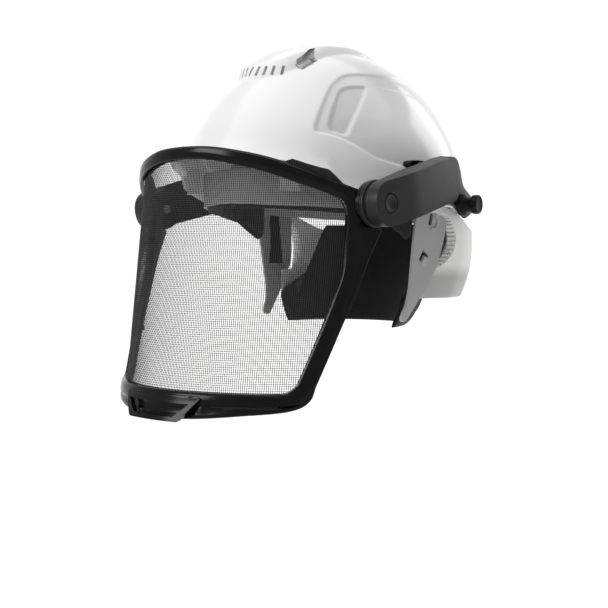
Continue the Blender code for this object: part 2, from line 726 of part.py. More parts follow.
def cut_hub_room(frame):
    """Room on the ears for the hinge discs, and the screw holes through the hub plates."""
    seat = HUB_PLATE_X[1] - 0.1 * MM
    bore = HUB_SCREW_RADIUS + BORE_GAP
    clear = DISC_RADIUS + 1.2 * MM
    room = turned_mesh("hub_room", [
        (0, OUTSIDE_X), (clear, OUTSIDE_X), (clear, seat), (bore, seat), (bore, INSIDE_X), (0, INSIDE_X)], 24)
    cut(frame, add_cutters("hub_rooms", room, [outwards(side, VISOR_PIVOT_Y, 0) for side in (1, -1)]))


def make_hub(side, parent):
    """Hinge disc on the visor's hub plate, and the screw that holds it."""
    name = side_name(side)
    bore = HUB_SCREW_RADIUS + BORE_GAP
    start, end = DISC_X
    thread = HUB_THREAD_END_X
    disc_mesh = turned_mesh(name + "_hinge_disc", [
        (0, SPIGOT_END_X), (SPIGOT_RADIUS, SPIGOT_END_X), (SPIGOT_RADIUS, end), (DISC_RADIUS - 0.8 * MM, end),
        (DISC_RADIUS, end - 0.8 * MM), (DISC_RADIUS, start), (bore, start), (bore, thread), (0, thread)], 24)
    disc = add_part(disc_mesh.name, disc_mesh, CHARCOAL)
    point_outwards(disc, side, VISOR_PIVOT_Y, 0)
    hang(disc, parent)
    head = HUB_PLATE_X[0] - 0.9 * MM
    screw_mesh = turned_mesh(name + "_hinge_screw", [
        (0, thread - BORE_GAP), (HUB_SCREW_RADIUS, thread - BORE_GAP), (HUB_SCREW_RADIUS, head),
        (3.8 * MM, head), (3.5 * MM, head - 2 * MM), (0, head - 2.4 * MM)], 12)
    screw = add_part(screw_mesh.name, screw_mesh, STEEL)
    point_outwards(screw, side, VISOR_PIVOT_Y, 0)
    hang(screw, parent)


# ---------------------------------------------------------------- arms


def arm_outline(inset):
    """Arm seen from its side, in metres along and across it from the visor's axis."""
    half = ARM_HALF_HEIGHT - inset
    corner = 11 * MM
    end = ARM_END_FROM_PIVOT - inset
    points = arc(0, 0, half + 0.5 * MM, 100, 260, 10)
    points += arc(end - corner, -half + corner, corner, 270, 355, 4)
    points += arc(end - corner, half - corner, corner, 5, 90, 4)
    return points


def arm_place(side, low, high):
    """Stand the flat arm on its slope, between two shares of its thickness."""
    def place(length, height, layer):
        y = VISOR_PIVOT_Y + length * math.cos(ARM_SLOPE) - height * math.sin(ARM_SLOPE)
        z = length * math.sin(ARM_SLOPE) + height * math.cos(ARM_SLOPE)
        behind = max(length - ARM_BEND_FROM_PIVOT, 0)
        inner = ARM_INNER_X - ARM_INNER_TAPER * behind
        outer = ARM_OUTER_X - ARM_OUTER_TAPER * behind
        share = lerp(low, high, (layer + 1) / 2)
        draft = ARM_TOP_DRAFT * smooth(-12 * MM, 30 * MM, length) * max(height / ARM_HALF_HEIGHT, 0)
        return Vector((side * lerp(inner, outer, share), y, z + draft * (1 - share)))
    return place


def make_arm(side, parent):
    name = side_name(side)
    cover_mesh = shaped_plate(name + "_arm_cover", arm_outline(0), arm_place(side, ARM_PLATE_SHARE + 0.03, 1),
                              folds=(ARM_BEND_FROM_PIVOT,))
    cover = add_part(cover_mesh.name, cover_mesh, CHARCOAL, parent)
    add_bevel(cover, 1.6 * MM, 1)
    plate_mesh = shaped_plate(name + "_arm_inner_plate", arm_outline(0.8 * MM),
                              arm_place(side, 0, ARM_PLATE_SHARE), folds=(ARM_BEND_FROM_PIVOT,))
    plate = add_part(plate_mesh.name, plate_mesh, BLACK_MATT, parent)
    wide = BUTTON_RADIUS + BORE_GAP
    narrow = SPIGOT_RADIUS + BORE_GAP
    bore = add_cutter(name + "_button_bore", turned_mesh("button_bore", [
        (0, OUTSIDE_X), (wide, OUTSIDE_X), (wide, BUTTON_BORE_X), (narrow, BUTTON_BORE_X),
        (narrow, INSIDE_X), (0, INSIDE_X)], 20))
    point_outwards(bore, side, VISOR_PIVOT_Y, 0)
    hole = ARM_PIN_RADIUS + BORE_GAP
    bore_end = (ARM_PIN_X[2] + 0.6) * MM
    pin_bore = add_cutter(name + "_arm_pin_bore", turned_mesh("arm_pin_bore", [
        (0, bore_end), (hole, bore_end), (hole, INSIDE_X), (0, INSIDE_X)], 14))
    point_outwards(pin_bore, side, ARM_PIVOT_Y, ARM_PIVOT_Z)
    for piece in (cover, plate):
        cut(piece, bore)
        cut(piece, pin_bore)


def make_button(side, parent):
    """Round release button in the arm's outer face."""
    name = side_name(side)
    low, high = BUTTON_X
    button_mesh = turned_mesh(name + "_release_button", [
        (0, high - 0.5 * MM), (BUTTON_RADIUS - 2.4 * MM, high - 0.4 * MM), (BUTTON_RADIUS - 1 * MM, high),
        (BUTTON_RADIUS, high - 0.8 * MM), (BUTTON_RADIUS, low), (0, low)], 20)
    button = add_part(button_mesh.name, button_mesh, CHARCOAL)
    point_outwards(button, side, VISOR_PIVOT_Y, 0)
    hang(button, parent)


def make_spring(side, parent):
    """Coil between the hinge disc's spigot and the button."""
    start = SPIGOT_END_X + SPRING_WIRE + BORE_GAP
    end = BUTTON_X[0] - SPRING_WIRE - BORE_GAP
    points = []
    for i in range(SPRING_POINTS):
        share = i / (SPRING_POINTS - 1)
        angle = 2 * math.pi * SPRING_TURNS * share
        points.append((side * lerp(start, end, share), SPRING_RADIUS * math.cos(angle),
                       SPRING_RADIUS * math.sin(angle)))
    name = side_name(side) + "_button_spring"
    spring = add_part(name, wire_mesh(name, points, SPRING_WIRE, 1, 0.005 * MM), STEEL)
    spring.location = (0, VISOR_PIVOT_Y, 0)
    hang(spring, parent)


# ---------------------------------------------------------------- carrier band and knobs


def rounded_plan(half_width, half_length, squareness, angle, centre_y=SHELL_CENTRE_Y):
    """Point on a squared ellipse in plan: angle in degrees from +X towards the rear."""
    cosine = math.cos(angle * DEG)
    sine = math.sin(angle * DEG)
    x = half_width * math.copysign(abs(cosine) ** (2 / squareness), cosine)
    y = centre_y + half_length * math.copysign(abs(sine) ** (2 / squareness), sine)
    return x, y


def carrier_place(across, up):
    reach = 2 * across - 1
    angle = 90 - 90 * math.copysign(abs(reach) ** 0.85, reach) * 1.02
    x, y = rounded_plan(CARRIER_HALF_WIDTH, CARRIER_HALF_LENGTH, CARRIER_SQUARENESS, angle)
    low = along(CARRIER_BOTTOM, y / MM)
    high = along(CARRIER_TOP, y / MM)
    return Vector((x, y, lerp(low, high, up) * MM))


def knob_frame(side):
    """Frame at the knob's foot, on the carrier, with Z pointing out of it."""
    share = ((KNOB_Y - SHELL_CENTRE_Y) / CARRIER_HALF_LENGTH) ** CARRIER_SQUARENESS
    x = CARRIER_HALF_WIDTH * (1 - share) ** (1 / CARRIER_SQUARENESS)
    out = Vector((side * math.cos(KNOB_TURN), math.sin(KNOB_TURN), 0))
    turn = out.to_track_quat("Z", "Y").to_matrix().to_4x4()
    return Matrix.Translation((side * x, KNOB_Y, KNOB_Z)) @ turn


def make_carrier():
    mesh = sheet_mesh("carrier_band", 48, 1, carrier_place)
    face_away(mesh, Vector((0, SHELL_CENTRE_Y, 0)))
    carrier = add_part("carrier_band", mesh, CHARCOAL)
    add_wall(carrier, CARRIER_WALL)
    hole = ARM_PIN_RADIUS + BORE_GAP
    profile = [(0, OUTSIDE_X), (hole, OUTSIDE_X), (hole, INSIDE_X), (0, INSIDE_X)]
    pin_hole = turned_mesh("pin_hole", profile, 14)
    pins = [outwards(side, ARM_PIVOT_Y, ARM_PIVOT_Z) for side in (1, -1)]
    cut(carrier, add_cutters("carrier_pin_holes", pin_hole, pins))
    stud_hole = turned_mesh("stud_hole", in_metres(STUD_HOLE), 12)
    cut(carrier, add_cutters("stud_holes", stud_hole, [knob_frame(side) for side in (1, -1)]))


def make_arm_pin(side):
    """Pin that the arm turns on, with its head inside the carrier band."""
    head, under, end = [x * MM for x in ARM_PIN_X]
    name = side_name(side) + "_arm_pin"
    mesh = turned_mesh(name, [
        (0, end), (ARM_PIN_RADIUS, end), (ARM_PIN_RADIUS, under), (ARM_PIN_HEAD, under),
        (ARM_PIN_HEAD, head), (0, head)], 14)
    point_outwards(add_part(name, mesh, STEEL), side, ARM_PIVOT_Y, ARM_PIVOT_Z)


def make_clamp_knob(side):
    """Knob that clamps the carrier to the helmet, and the stud that it screws onto."""
    for name, profile, steps, finish in (
            (side_name(side) + "_clamp_knob", KNOB_PROFILE, 16, BLACK_MATT),
            (side_name(side) + "_knob_stud", STUD_PROFILE, 12, STEEL)):
        piece = add_part(name, turned_mesh(name, in_metres(profile), steps), finish)
        piece.matrix_world = knob_frame(side)


# ---------------------------------------------------------------- suspension


def ellipse_place(half_width, half_length, tops, bottoms, first, last):
    """Band on an upright ellipse between two headings, its edges set by heading stations."""
    def place(across, up):
        heading = lerp(first, last, across)
        low = along(bottoms, abs(heading))
        high = along(tops, abs(heading))
        x = half_width * math.sin(heading * DEG)
        y = SHELL_CENTRE_Y - half_length * math.cos(heading * DEG)
        return Vector((x, y, lerp(low, high, up) * MM))
    return place


def banded(name, columns, place, wall, finish, closed=False, rows=1):
    mesh = sheet_mesh(name, columns, rows, place, closed)
    face_away(mesh, Vector((0, SHELL_CENTRE_Y, 0)))
    part = add_part(name, mesh, finish)
    add_wall(part, wall)
    return part


def make_headband():
    banded("headband", 40, ellipse_place(BAND_HALF_WIDTH, BAND_HALF_LENGTH, BAND_TOP, BAND_BOTTOM, -180, 180),
           2 * MM, GREY_PLASTIC, closed=True)
    lining = ellipse_place(BAND_HALF_WIDTH - SWEAT_GAP, BAND_HALF_LENGTH - SWEAT_GAP, SWEAT_TOP, SWEAT_BOTTOM,
                           -97, 97)
    banded("sweatband", 26, lining, 3 * MM, DARK_FOAM)


def crown_place(half_span, height, lengthways):
    def place(across, up):
        angle = lerp(7, 173, across) * DEG
        span = half_span * math.cos(angle)
        width = (up - 0.5) * CROWN_STRAP_WIDTH
        z = height * math.sin(angle)
        if lengthways:
            return Vector((width, SHELL_CENTRE_Y + span, z))
        return Vector((span, SHELL_CENTRE_Y + width, z))
    return place


def make_crown_straps():
    for name, half_span, height, lengthways in (
            ("crown_strap_lengthways", CROWN_HALF_LENGTH, CROWN_HEIGHT, True),
            ("crown_strap_crossways", CROWN_HALF_WIDTH, CROWN_HEIGHT + CROWN_STRAP_GAP, False)):
        banded(name, 20, crown_place(half_span, height, lengthways), 1.5 * MM, WEBBING)


def make_suspension_clips():
    """Keys that hang the headband in the shell, each a curved block between the two."""
    for name, heading in CLIP_PLACES:
        block = ellipse_place(CLIP_HALF_WIDTH, CLIP_HALF_LENGTH, CLIP_TOP, CLIP_BOTTOM,
                              heading - CLIP_HALF_ANGLE, heading + CLIP_HALF_ANGLE)
        banded("suspension_clip_" + name, 2, block, CLIP_WALL, GREY_PLASTIC)


def make_side_strap(side):
    """Broad plastic strap below the headband, with a slot, a boss and a hooked notch."""
    def place(y, z, layer):
        x = STRAP_TOP_X + STRAP_LEAN * z - STRAP_WALL * (1 - layer) / 2
        return Vector((side * x, y, z))
    name = side_name(side) + "_side_strap"
    holes = (in_metres(STRAP_SLOT), in_metres(STRAP_NOTCH))
    add_part(name, shaped_plate(name, in_metres(STRAP_OUTLINE), place, holes=holes), GREY_PLASTIC)


def cradle_place(across, up):
    reach = 2 * across - 1
    angle = 90 - 85.5 * math.copysign(abs(reach) ** 0.8, reach)
    x, y = rounded_plan(CRADLE_HALF_WIDTH, CRADLE_HALF_LENGTH, CRADLE_SQUARENESS, angle)
    z = lerp(CRADLE_BOTTOM_Z, along(CRADLE_TOP, y / MM) * MM, up)
    rear = smooth(32 * MM, 78 * MM, y)
    turn_in = CRADLE_TURN_IN * (1 - rear) * (1 - smooth(-52 * MM, -20 * MM, z))
    tuck = CRADLE_TUCK * rear * max((CRADLE_TUCK_FROM_Z - z) / CRADLE_TUCK_HEIGHT, 0) ** 2
    x, y = rounded_plan(CRADLE_HALF_WIDTH - tuck, CRADLE_HALF_LENGTH - tuck, CRADLE_SQUARENESS, angle)
    return Vector((x - math.copysign(turn_in, x), y, z))


def make_nape_cradle():
    """Wrap-round shell below the helmet's rear rim, open at each side, that carries the ratchet."""
    cradle = banded("nape_cradle", 36, cradle_place, CRADLE_WALL, WHITE_PLASTIC, rows=5)
    centre_y, centre_z = CRADLE_OPENING_AT
    opening = arc(centre_y, centre_z, CRADLE_OPENING_RADIUS, -90, 90, 12)
    opening += [(CRADLE_OPENING_FRONT_Y, centre_z + CRADLE_OPENING_RADIUS),
                (CRADLE_OPENING_FRONT_Y, centre_z - CRADLE_OPENING_RADIUS)]
    def place(y, z, layer):
        return Vector((layer * OUTSIDE_X, y, z))
    cut(cradle, add_cutter("cradle_opening", shaped_plate("cradle_opening", opening, place)))
    shaft = add_cutter("knob_shaft_hole", turned_mesh("knob_shaft_hole", in_metres(SHAFT_HOLE), 16))
    along_rear(shaft)
    cut(cradle, shaft)


def pad_place(across, up):
    z = lerp(PAD_WIDTHS[0][0], PAD_WIDTHS[-1][0], up)
    half_width = along(PAD_WIDTHS, z) * MM
    first = lerp(8, 40, smooth(-75, -44, z))
    angle = lerp(first, 180 - first, 1 - across) * DEG
    x = half_width * math.cos(angle)
    y = PAD_CENTRE_Y + half_width * PAD_LENGTH_RATIO * math.sin(angle)
    return Vector((x, y, z * MM))


def make_nape_pad():
    banded("nape_pad", 20, pad_place, PAD_WALL, DARK_FOAM, rows=4)


def along_rear(thing):
    """Lay a turned piece's Z axis along +Y at the ratchet's height."""
    thing.location = (0, 0, RATCHET_Z)
    thing.rotation_euler = (-math.pi / 2, 0, 0)


def make_ratchet(parent):
    """Housing on the cradle's rear wall, and the knob and pinion that tighten the headband."""
    low = Vector(RATCHET_LOW) * MM
    high = Vector(RATCHET_HIGH) * MM
    housing = add_part("ratchet_housing", box_mesh("ratchet_housing", low, high), GREY_PLASTIC)
    add_bevel(housing, 2 * MM, 2)
    well = add_cutter("pinion_well", turned_mesh("pinion_well", in_metres(PINION_WELL), 24))
    along_rear(well)
    cut(housing, well)
    knob_mesh = turned_mesh("ratchet_knob", in_metres(RATCHET_KNOB_PROFILE), 24)
    knob = add_part("ratchet_knob", knob_mesh, BLACK_MATT)
    along_rear(knob)
    hang(knob, parent)
    make_pinion(parent)


def make_pinion(parent):
    """Toothed wheel on the knob's shaft."""
    outline = []
    steps = 4 * PINION_TEETH
    for i in range(steps):
        radius = PINION_RADII[0] if i % 4 < 2 else PINION_RADII[1]
        angle = 2 * math.pi * i / steps
        outline.append((radius * math.cos(angle), radius * math.sin(angle)))
    bore = arc(0, 0, PINION_BORE, 0, 345, 23)
    def place(x, z, layer):
        return Vector((x, PINION_Y + PINION_HALF_WIDTH * layer, RATCHET_Z + z))
    mesh = shaped_plate("ratchet_pinion", outline, place, holes=(bore,))
    add_part("ratchet_pinion", mesh, GREY_PLASTIC, parent)


def build():
    left_arm = add_pivot("left_arm_pivot", (0, ARM_PIVOT_Y, ARM_PIVOT_Z))
    right_arm = add_pivot("right_arm_pivot", (0, ARM_PIVOT_Y, ARM_PIVOT_Z))
    visor = add_pivot("visor_pivot", (0, VISOR_PIVOT_Y, 0), left_arm)
    ratchet = add_pivot("ratchet_pivot", (0, RATCHET_PIVOT_Y, RATCHET_Z))
    make_helmet_shell()
    make_carrier()
    make_headband()
    make_crown_straps()
    make_suspension_clips()
    make_nape_cradle()
    make_nape_pad()
    make_ratchet(ratchet)
    make_visor(visor)
    for side, arm in ((1, left_arm), (-1, right_arm)):
        make_vent_slider(side)
        make_slot_adapter(side)
        make_clamp_knob(side)
        make_arm_pin(side)
        make_side_strap(side)
        make_arm(side, arm)
        make_button(side, arm)
        make_spring(side, arm)


build()
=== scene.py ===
"""Looks of the face shield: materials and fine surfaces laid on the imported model's frame.

Metres, +Z up, +X the wearer's left, -Y the front. Driving sizes repeat those of the part.
"""

import math

import bmesh
import bpy
import numpy as np
from mathutils import Matrix, Vector


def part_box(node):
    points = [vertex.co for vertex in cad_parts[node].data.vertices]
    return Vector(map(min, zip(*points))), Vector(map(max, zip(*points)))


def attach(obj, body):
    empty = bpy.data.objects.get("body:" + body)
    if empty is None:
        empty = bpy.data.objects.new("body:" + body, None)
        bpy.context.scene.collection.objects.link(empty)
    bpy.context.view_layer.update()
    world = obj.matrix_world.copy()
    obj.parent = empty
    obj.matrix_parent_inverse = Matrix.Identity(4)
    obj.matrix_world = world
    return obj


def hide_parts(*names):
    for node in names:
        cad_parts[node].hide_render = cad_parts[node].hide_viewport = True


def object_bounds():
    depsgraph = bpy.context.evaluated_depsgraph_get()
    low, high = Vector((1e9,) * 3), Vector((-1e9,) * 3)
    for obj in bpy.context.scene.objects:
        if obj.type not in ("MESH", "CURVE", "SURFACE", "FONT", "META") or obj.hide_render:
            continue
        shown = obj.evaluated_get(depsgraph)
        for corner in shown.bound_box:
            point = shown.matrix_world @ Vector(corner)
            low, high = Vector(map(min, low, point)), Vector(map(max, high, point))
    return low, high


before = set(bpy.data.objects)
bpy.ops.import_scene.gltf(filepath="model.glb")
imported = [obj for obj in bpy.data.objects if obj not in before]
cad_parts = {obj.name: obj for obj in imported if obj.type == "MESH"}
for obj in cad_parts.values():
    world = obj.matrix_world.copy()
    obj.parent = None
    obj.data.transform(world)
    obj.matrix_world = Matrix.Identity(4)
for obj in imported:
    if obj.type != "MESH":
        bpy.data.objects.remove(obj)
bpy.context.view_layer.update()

MM = 0.001
DEG = math.pi / 180

# Helmet shell
SHELL_HALF_WIDTH = 104 * MM
SHELL_HALF_LENGTH = 129.5 * MM
SHELL_HEIGHT = 128 * MM
SHELL_CENTRE_Y = 5 * MM
SHELL_WALL = 2.5 * MM
SHELL_COLUMNS = 480
SHELL_ROWS = 170
RIM_STATIONS = [(0, 36), (20, 34.5), (33, 32), (42, 29), (50, 25.5), (55, 16), (62, 12), (75, 5), (90, 2),
                (135, -1), (180, -3)]
BRIM_REACH = 20 * MM
RIM_REACH = 3.2 * MM
RIM_ROLL = 7 * MM
CREST_PLAN = [(0, -83), (10, -79), (20, -74), (26.5, -67), (30.5, -57), (33, -45), (33, -24), (30, 2),
              (26, 40), (20, 90)]
SLOT_PAIRS = 4
SLOT_PITCH = 5.9 * MM
SLOT_SIZE = (2.3 * MM, 22 * MM, 7.4 * MM)
SLOT_FRONT = [(0, -78.5), (6, -78), (12, -75.7), (18, -72.6), (24, -68)]
SLOT_TURN = [(0, 0), (6, 10), (12, 22), (18, 33), (24, 42)]
SLOT_HEIGHT_AT = 103.4 * MM
SLOT_LEAN = 13 * DEG
SCOOP_OUTLINE = [(-58.5, 107.5), (-56, 105.5), (-46, 109.5), (-43, 112), (-36, 123.6), (-43, 121.5),
                 (-57.5, 112)]
SCOOP_FRONT_Y = -58 * MM
SCOOP_LENGTH = 22 * MM
SCOOP_DEPTH_X = (26 * MM, 18 * MM)
SCOOP_MOUTH_X = 45 * MM
SCOOP_LINER = 1.4
SLIDER_SIZE = (7.4 * MM, 13 * MM, 3.2 * MM)
SLIDER_TRAVEL = 6 * MM
PANEL = [(-81, 53), (-72, 68), (-61, 82), (-52, 91), (-46, 95), (-40, 98.5), (-34, 101), (-20, 103),
         (5, 103.5), (33, 102.5), (50, 99), (60, 93), (70, 83), (77, 70), (80, 56), (78, 42), (66, 30),
         (50, 25), (10, 24), (-13, 28), (-20, 30), (-32, 32), (-42, 35), (-52, 42), (-62, 48), (-72, 52)]
DISH = [(-71, 56), (-62, 71), (-54, 81), (-50, 86), (-46, 89), (-40, 91.5), (-29, 93), (-20, 92.5), (-34, 79),
        (-50, 62), (-58, 50.5), (-64, 53)]
BULGE = [(-18, 93), (-1, 93), (16, 91), (36, 87), (54, 80), (66, 71), (74, 60), (74, 44), (62, 33), (48, 28),
         (10, 26), (-13, 29), (-20, 31), (-32, 33), (-42, 36.5), (-51, 43), (-56, 51), (-48, 62), (-32, 79)]

# Visor
VISOR_RADIUS = 124 * MM
VISOR_AXIS_Y = -32.15 * MM
VISOR_LEAN = 0.125
WINDOW_KEYS = [
    (0, 33), (10.5, 32), (21, 28.5), (32, 23), (45, 14), (54, 8), (59.5, 3), (62, -6), (62.5, -20),
    (62.5, -48), (60, -68), (57.4, -85), (53.4, -109), (50.7, -124), (49.2, -129.5), (45, -133.2),
    (30, -133.5), (15, -133.5), (0, -133.5),
]
TOP_EDGE = [(0, 42.3), (12, 41.4), (24, 37.6), (35, 32.3), (45, 25.2), (57, 16), (67, 9)]
RIM_KEYS = TOP_EDGE + [
    (75, 3), (76, -15), (71.5, -40), (67.7, -66), (64, -85), (60, -108), (56.7, -127), (54.6, -139),
    (48.3, -145.5), (32, -149), (16, -152.3), (0, -154),
]
MESH_DEPTH = 4.5 * MM
MESH_SIDES = [(-140, 51), (-124, 53), (-109, 55.5), (-85, 59.8), (-68, 62.3), (-48, 64.8), (-20, 64.8),
              (10, 63.5)]
MESH_TOP = [(0, 37), (21, 33), (32, 27), (45, 18.5), (54, 13), (66, 9)]
MESH_FLOOR = -139.5 * MM
WIRE_RADIUS = 0.205 * MM
UPRIGHT_PITCH = 1.6 * MM
LEVEL_PITCH = 1.6 * MM
RETAINER_DEPTH = 5.9 * MM
RETAINER_WALL = 1.5 * MM
SEAL_REACH = 61
SEAL_OVERLAP = 2.2
SEAL_RISE = [(0, 0), (39, 0), (42, 4.2), (47, 4.6), (51, 5.4), (55, 6.6), (57.5, 4.2), (61, 0)]

# Hinges, arms and carrier
VISOR_PIVOT_Y = -70 * MM
HUB_PLATE_X = (112.2 * MM, 115.7 * MM)
HUB_PLATE_RADIUS = 16.5 * MM
DISC_X = (116 * MM, 119.4 * MM)
DISC_RADIUS = 17.2 * MM
SPIGOT_RADIUS = 5.6 * MM
SPIGOT_END_X = 122.8 * MM
HUB_BORE = 2.8 * MM
HUB_THREAD_END_X = 121 * MM
OUTSIDE_X = 150 * MM
INSIDE_X = 100 * MM
ARM_SLOPE = 13 * DEG
ARM_HALF_HEIGHT = 16.4 * MM
ARM_END = 98 * MM
ARM_PIVOT = 80 * MM
ARM_BEND = 29 * MM
ARM_OUTER_X = 132 * MM
ARM_INNER_X = 119.8 * MM
ARM_OUTER_TAPER = 0.17
ARM_INNER_TAPER = 0.142
ARM_PLATE_SHARE = 0.16
ARM_TOP_DRAFT = 3.3 * MM
BUTTON_RADIUS = 6.9 * MM
BUTTON_X = (126.8 * MM, 131.6 * MM)
BUTTON_BORE_X = 124.6 * MM
PIN_BORE = 4 * MM
ARM_PIN_BORE_END_X = 117 * MM
ARM_PIVOT_Y = VISOR_PIVOT_Y + ARM_PIVOT * math.cos(ARM_SLOPE)
ARM_PIVOT_Z = ARM_PIVOT * math.sin(ARM_SLOPE)
CARRIER_HALF_WIDTH = 109.8 * MM
CARRIER_HALF_LENGTH = 139 * MM
CARRIER_SQUARENESS = 2.2
CARRIER_TOP = [(-8, 30), (-2, 33), (8, 36.5), (18, 38.5), (36, 39.3), (40, 39), (44, 37), (49, 29), (52, 21),
               (55, 17), (60, 14.5), (76, 9), (144, 9)]
CARRIER_BOTTOM = [(-8, 14), (-4, 8), (28, 8), (36, 3), (50, -5), (60, -8.6), (70, -6), (80, -3), (144, -3)]
CARRIER_WALL = 3 * MM
KNOB_Y = 46.7 * MM
KNOB_Z = 2 * MM
KNOB_TURN = 12 * DEG

# Suspension
BAND_HALF_WIDTH = 86 * MM
BAND_HALF_LENGTH = 108 * MM
BAND_TOP = [(0, 28), (60, 24), (100, 18), (180, 12)]
BAND_BOTTOM = [(0, 2), (60, -2), (100, -4), (180, -12)]
SWEAT_TOP = [(0, 26), (60, 22), (97, 14)]
SWEAT_BOTTOM = [(0, 0), (60, -6), (78, -11), (93, -26), (97, -20)]
SWEAT_GAP = 2.8 * MM
CRADLE_TOP = [(28, 3), (40, 3), (56, -2), (70, -6), (80, -10.5), (88, -14), (97, -17), (110, -18), (136, -16)]
CRADLE_BOTTOM_Z = -73 * MM
CRADLE_HALF_WIDTH = 94 * MM
CRADLE_HALF_LENGTH = 131 * MM
CRADLE_SQUARENESS = 3
CRADLE_TURN_IN = 21 * MM
# Heights over which the cradle's painted shade fades in
CRADLE_SHADE_Z = (-56 * MM, -46 * MM)
CRADLE_WALL = 2.5 * MM
CRADLE_TUCK = 7 * MM
CRADLE_TUCK_FROM_Z = -30 * MM
CRADLE_TUCK_HEIGHT = 39 * MM
CRADLE_HOLE = (40 * MM, -28 * MM)
CRADLE_HOLE_RADIUS = 23.5 * MM
PAD_WIDTHS = [(-96, 60), (-82, 68), (-70, 72), (-41, 84), (-26, 89), (-12, 87)]
COMB_RIBS = 17
COMB_ARC = (-58, 96)
RATCHET_Z = -32 * MM
STRAP_X = 89.5 * MM
STRAP_SLOPE = 0.14
STRAP_WALL = 2.5 * MM
CROWN_STRAP_WIDTH = 20 * MM
CROWN_STRAP_ARC = (7, 173)

# Camera and floor
CAMERA = (674.3 * MM, -742.4 * MM, -25.9 * MM)
TARGET = (-6.7 * MM, -12 * MM, -78.2 * MM)
LENS = 72.2
FLOOR_DROP = 250 * MM


# ---------------------------------------------------------------- numbers and shapes


def smooth(low, high, value):
    share = np.clip((value - low) / (high - low), 0.0, 1.0)
    return share * share * (3 - 2 * share)


def lerp(first, second, share):
    return first + (second - first) * share


def along(stations, value):
    """Height at a position, on straight lines between (position, height) stations."""
    places, heights = zip(*stations)
    return np.interp(value, places, heights)


def spline(keys, share):
    """Point at a share of the way through the keys, on a Catmull-Rom curve."""
    place = share * (len(keys) - 1)
    step = min(int(place), len(keys) - 2)
    t = place - step
    before = Vector(keys[max(step - 1, 0)])
    start = Vector(keys[step])
    end = Vector(keys[step + 1])
    after = Vector(keys[min(step + 2, len(keys) - 1)])
    return 0.5 * (2 * start + (end - before) * t + (2 * before - 5 * start + 4 * end - after) * t * t
                  + (3 * start - before - 3 * end + after) * t ** 3)


def distance_inside(across, up, outline):
    """How far each point is inside a closed outline, negative outside, in the outline's own unit."""
    nearest = np.full(across.shape, 1e9)
    inside = np.zeros(across.shape, bool)
    for (x0, y0), (x1, y1) in zip(outline, outline[1:] + outline[:1]):
        share = ((across - x0) * (x1 - x0) + (up - y0) * (y1 - y0)) / ((x1 - x0) ** 2 + (y1 - y0) ** 2)
        share = np.clip(share, 0, 1)
        gap = np.hypot(across - x0 - share * (x1 - x0), up - y0 - share * (y1 - y0))
        nearest = np.minimum(nearest, gap)
        if y0 != y1:
            crossing = x0 + (up - y0) * (x1 - x0) / (y1 - y0)
            inside ^= ((y0 > up) != (y1 > up)) & (across < crossing)
    return np.where(inside, nearest, -nearest)


def rounded_outline(outline, passes=2):
    """The outline with its corners cut off, pass by pass, into a smooth curve."""
    for _ in range(passes):
        cut_corners = []
        for first, second in zip(outline, outline[1:] + outline[:1]):
            first, second = Vector(first), Vector(second)
            cut_corners += [tuple(first.lerp(second, 0.25)), tuple(first.lerp(second, 0.75))]
        outline = cut_corners
    return outline


def crisp(mesh, angle=38):
    """The mesh with rounded parts shaded smooth, and edges sharper than the angle left crisp."""
    mesh.shade_smooth()
    mesh.set_sharp_from_angle(angle=angle * DEG)
    return mesh


def mesh_from(bm, name):
    mesh = bpy.data.meshes.new(name)
    bm.to_mesh(mesh)
    bm.free()
    return crisp(mesh)


def grid_mesh(name, points, closed_across=False, closed_up=False, caps=False):
    """Mesh over a grid of points, shape (columns, rows, 3), facing out."""
    columns, rows = points.shape[:2]
    verts = points.reshape(-1, 3)
    faces = []
    for i in range(columns if closed_across else columns - 1):
        for j in range(rows if closed_up else rows - 1):
            a, b = i, (i + 1) % columns
            c, d = j, (j + 1) % rows
            faces.append((a * rows + c, b * rows + c, b * rows + d, a * rows + d))
    if caps:
        faces.append(tuple(j for j in range(rows)))
        faces.append(tuple((columns - 1) * rows + j for j in reversed(range(rows))))
    mesh = bpy.data.meshes.new(name)
    mesh.from_pydata([tuple(v) for v in verts], [], faces)
    return mesh


def close_outwards(bm):
    bmesh.ops.recalc_face_normals(bm, faces=bm.faces)
    if bm.calc_volume(signed=True) < 0:
        bmesh.ops.reverse_faces(bm, faces=bm.faces)


def finish_closed(mesh, weld=0.0):
    """Faces of a closed mesh turned outwards, and its rounded parts shaded smooth."""
    bm = bmesh.new()
    bm.from_mesh(mesh)
    if weld:
        bmesh.ops.remove_doubles(bm, verts=bm.verts, dist=weld)
    close_outwards(bm)
    bm.to_mesh(mesh)
    bm.free()
    return crisp(mesh)


def shell_between(name, columns, rows, place, wall, closed=False):
    """Closed wall: place(across, up, depth) gives its outer surface at depth 0 and its inner one at wall."""
    across = np.linspace(0, 1, columns, endpoint=not closed)
    up = np.linspace(0, 1, rows)
    outer = [[place(u, v, 0.0) for v in up] for u in across]
    inner = [[place(u, v, wall) for v in reversed(up)] for u in across]
    points = np.array([a + b for a, b in zip(outer, inner)], float)
    return finish_closed(grid_mesh(name, points, closed_across=closed, closed_up=True, caps=not closed))


def box_mesh(name, low, high):
    bm = bmesh.new()
    bmesh.ops.create_cube(bm, size=1)
    centre = (Vector(low) + Vector(high)) / 2
    size = Vector(high) - Vector(low)
    for vert in bm.verts:
        vert.co = Vector((vert.co.x * size.x, vert.co.y * size.y, vert.co.z * size.z)) + centre
    return mesh_from(bm, name)


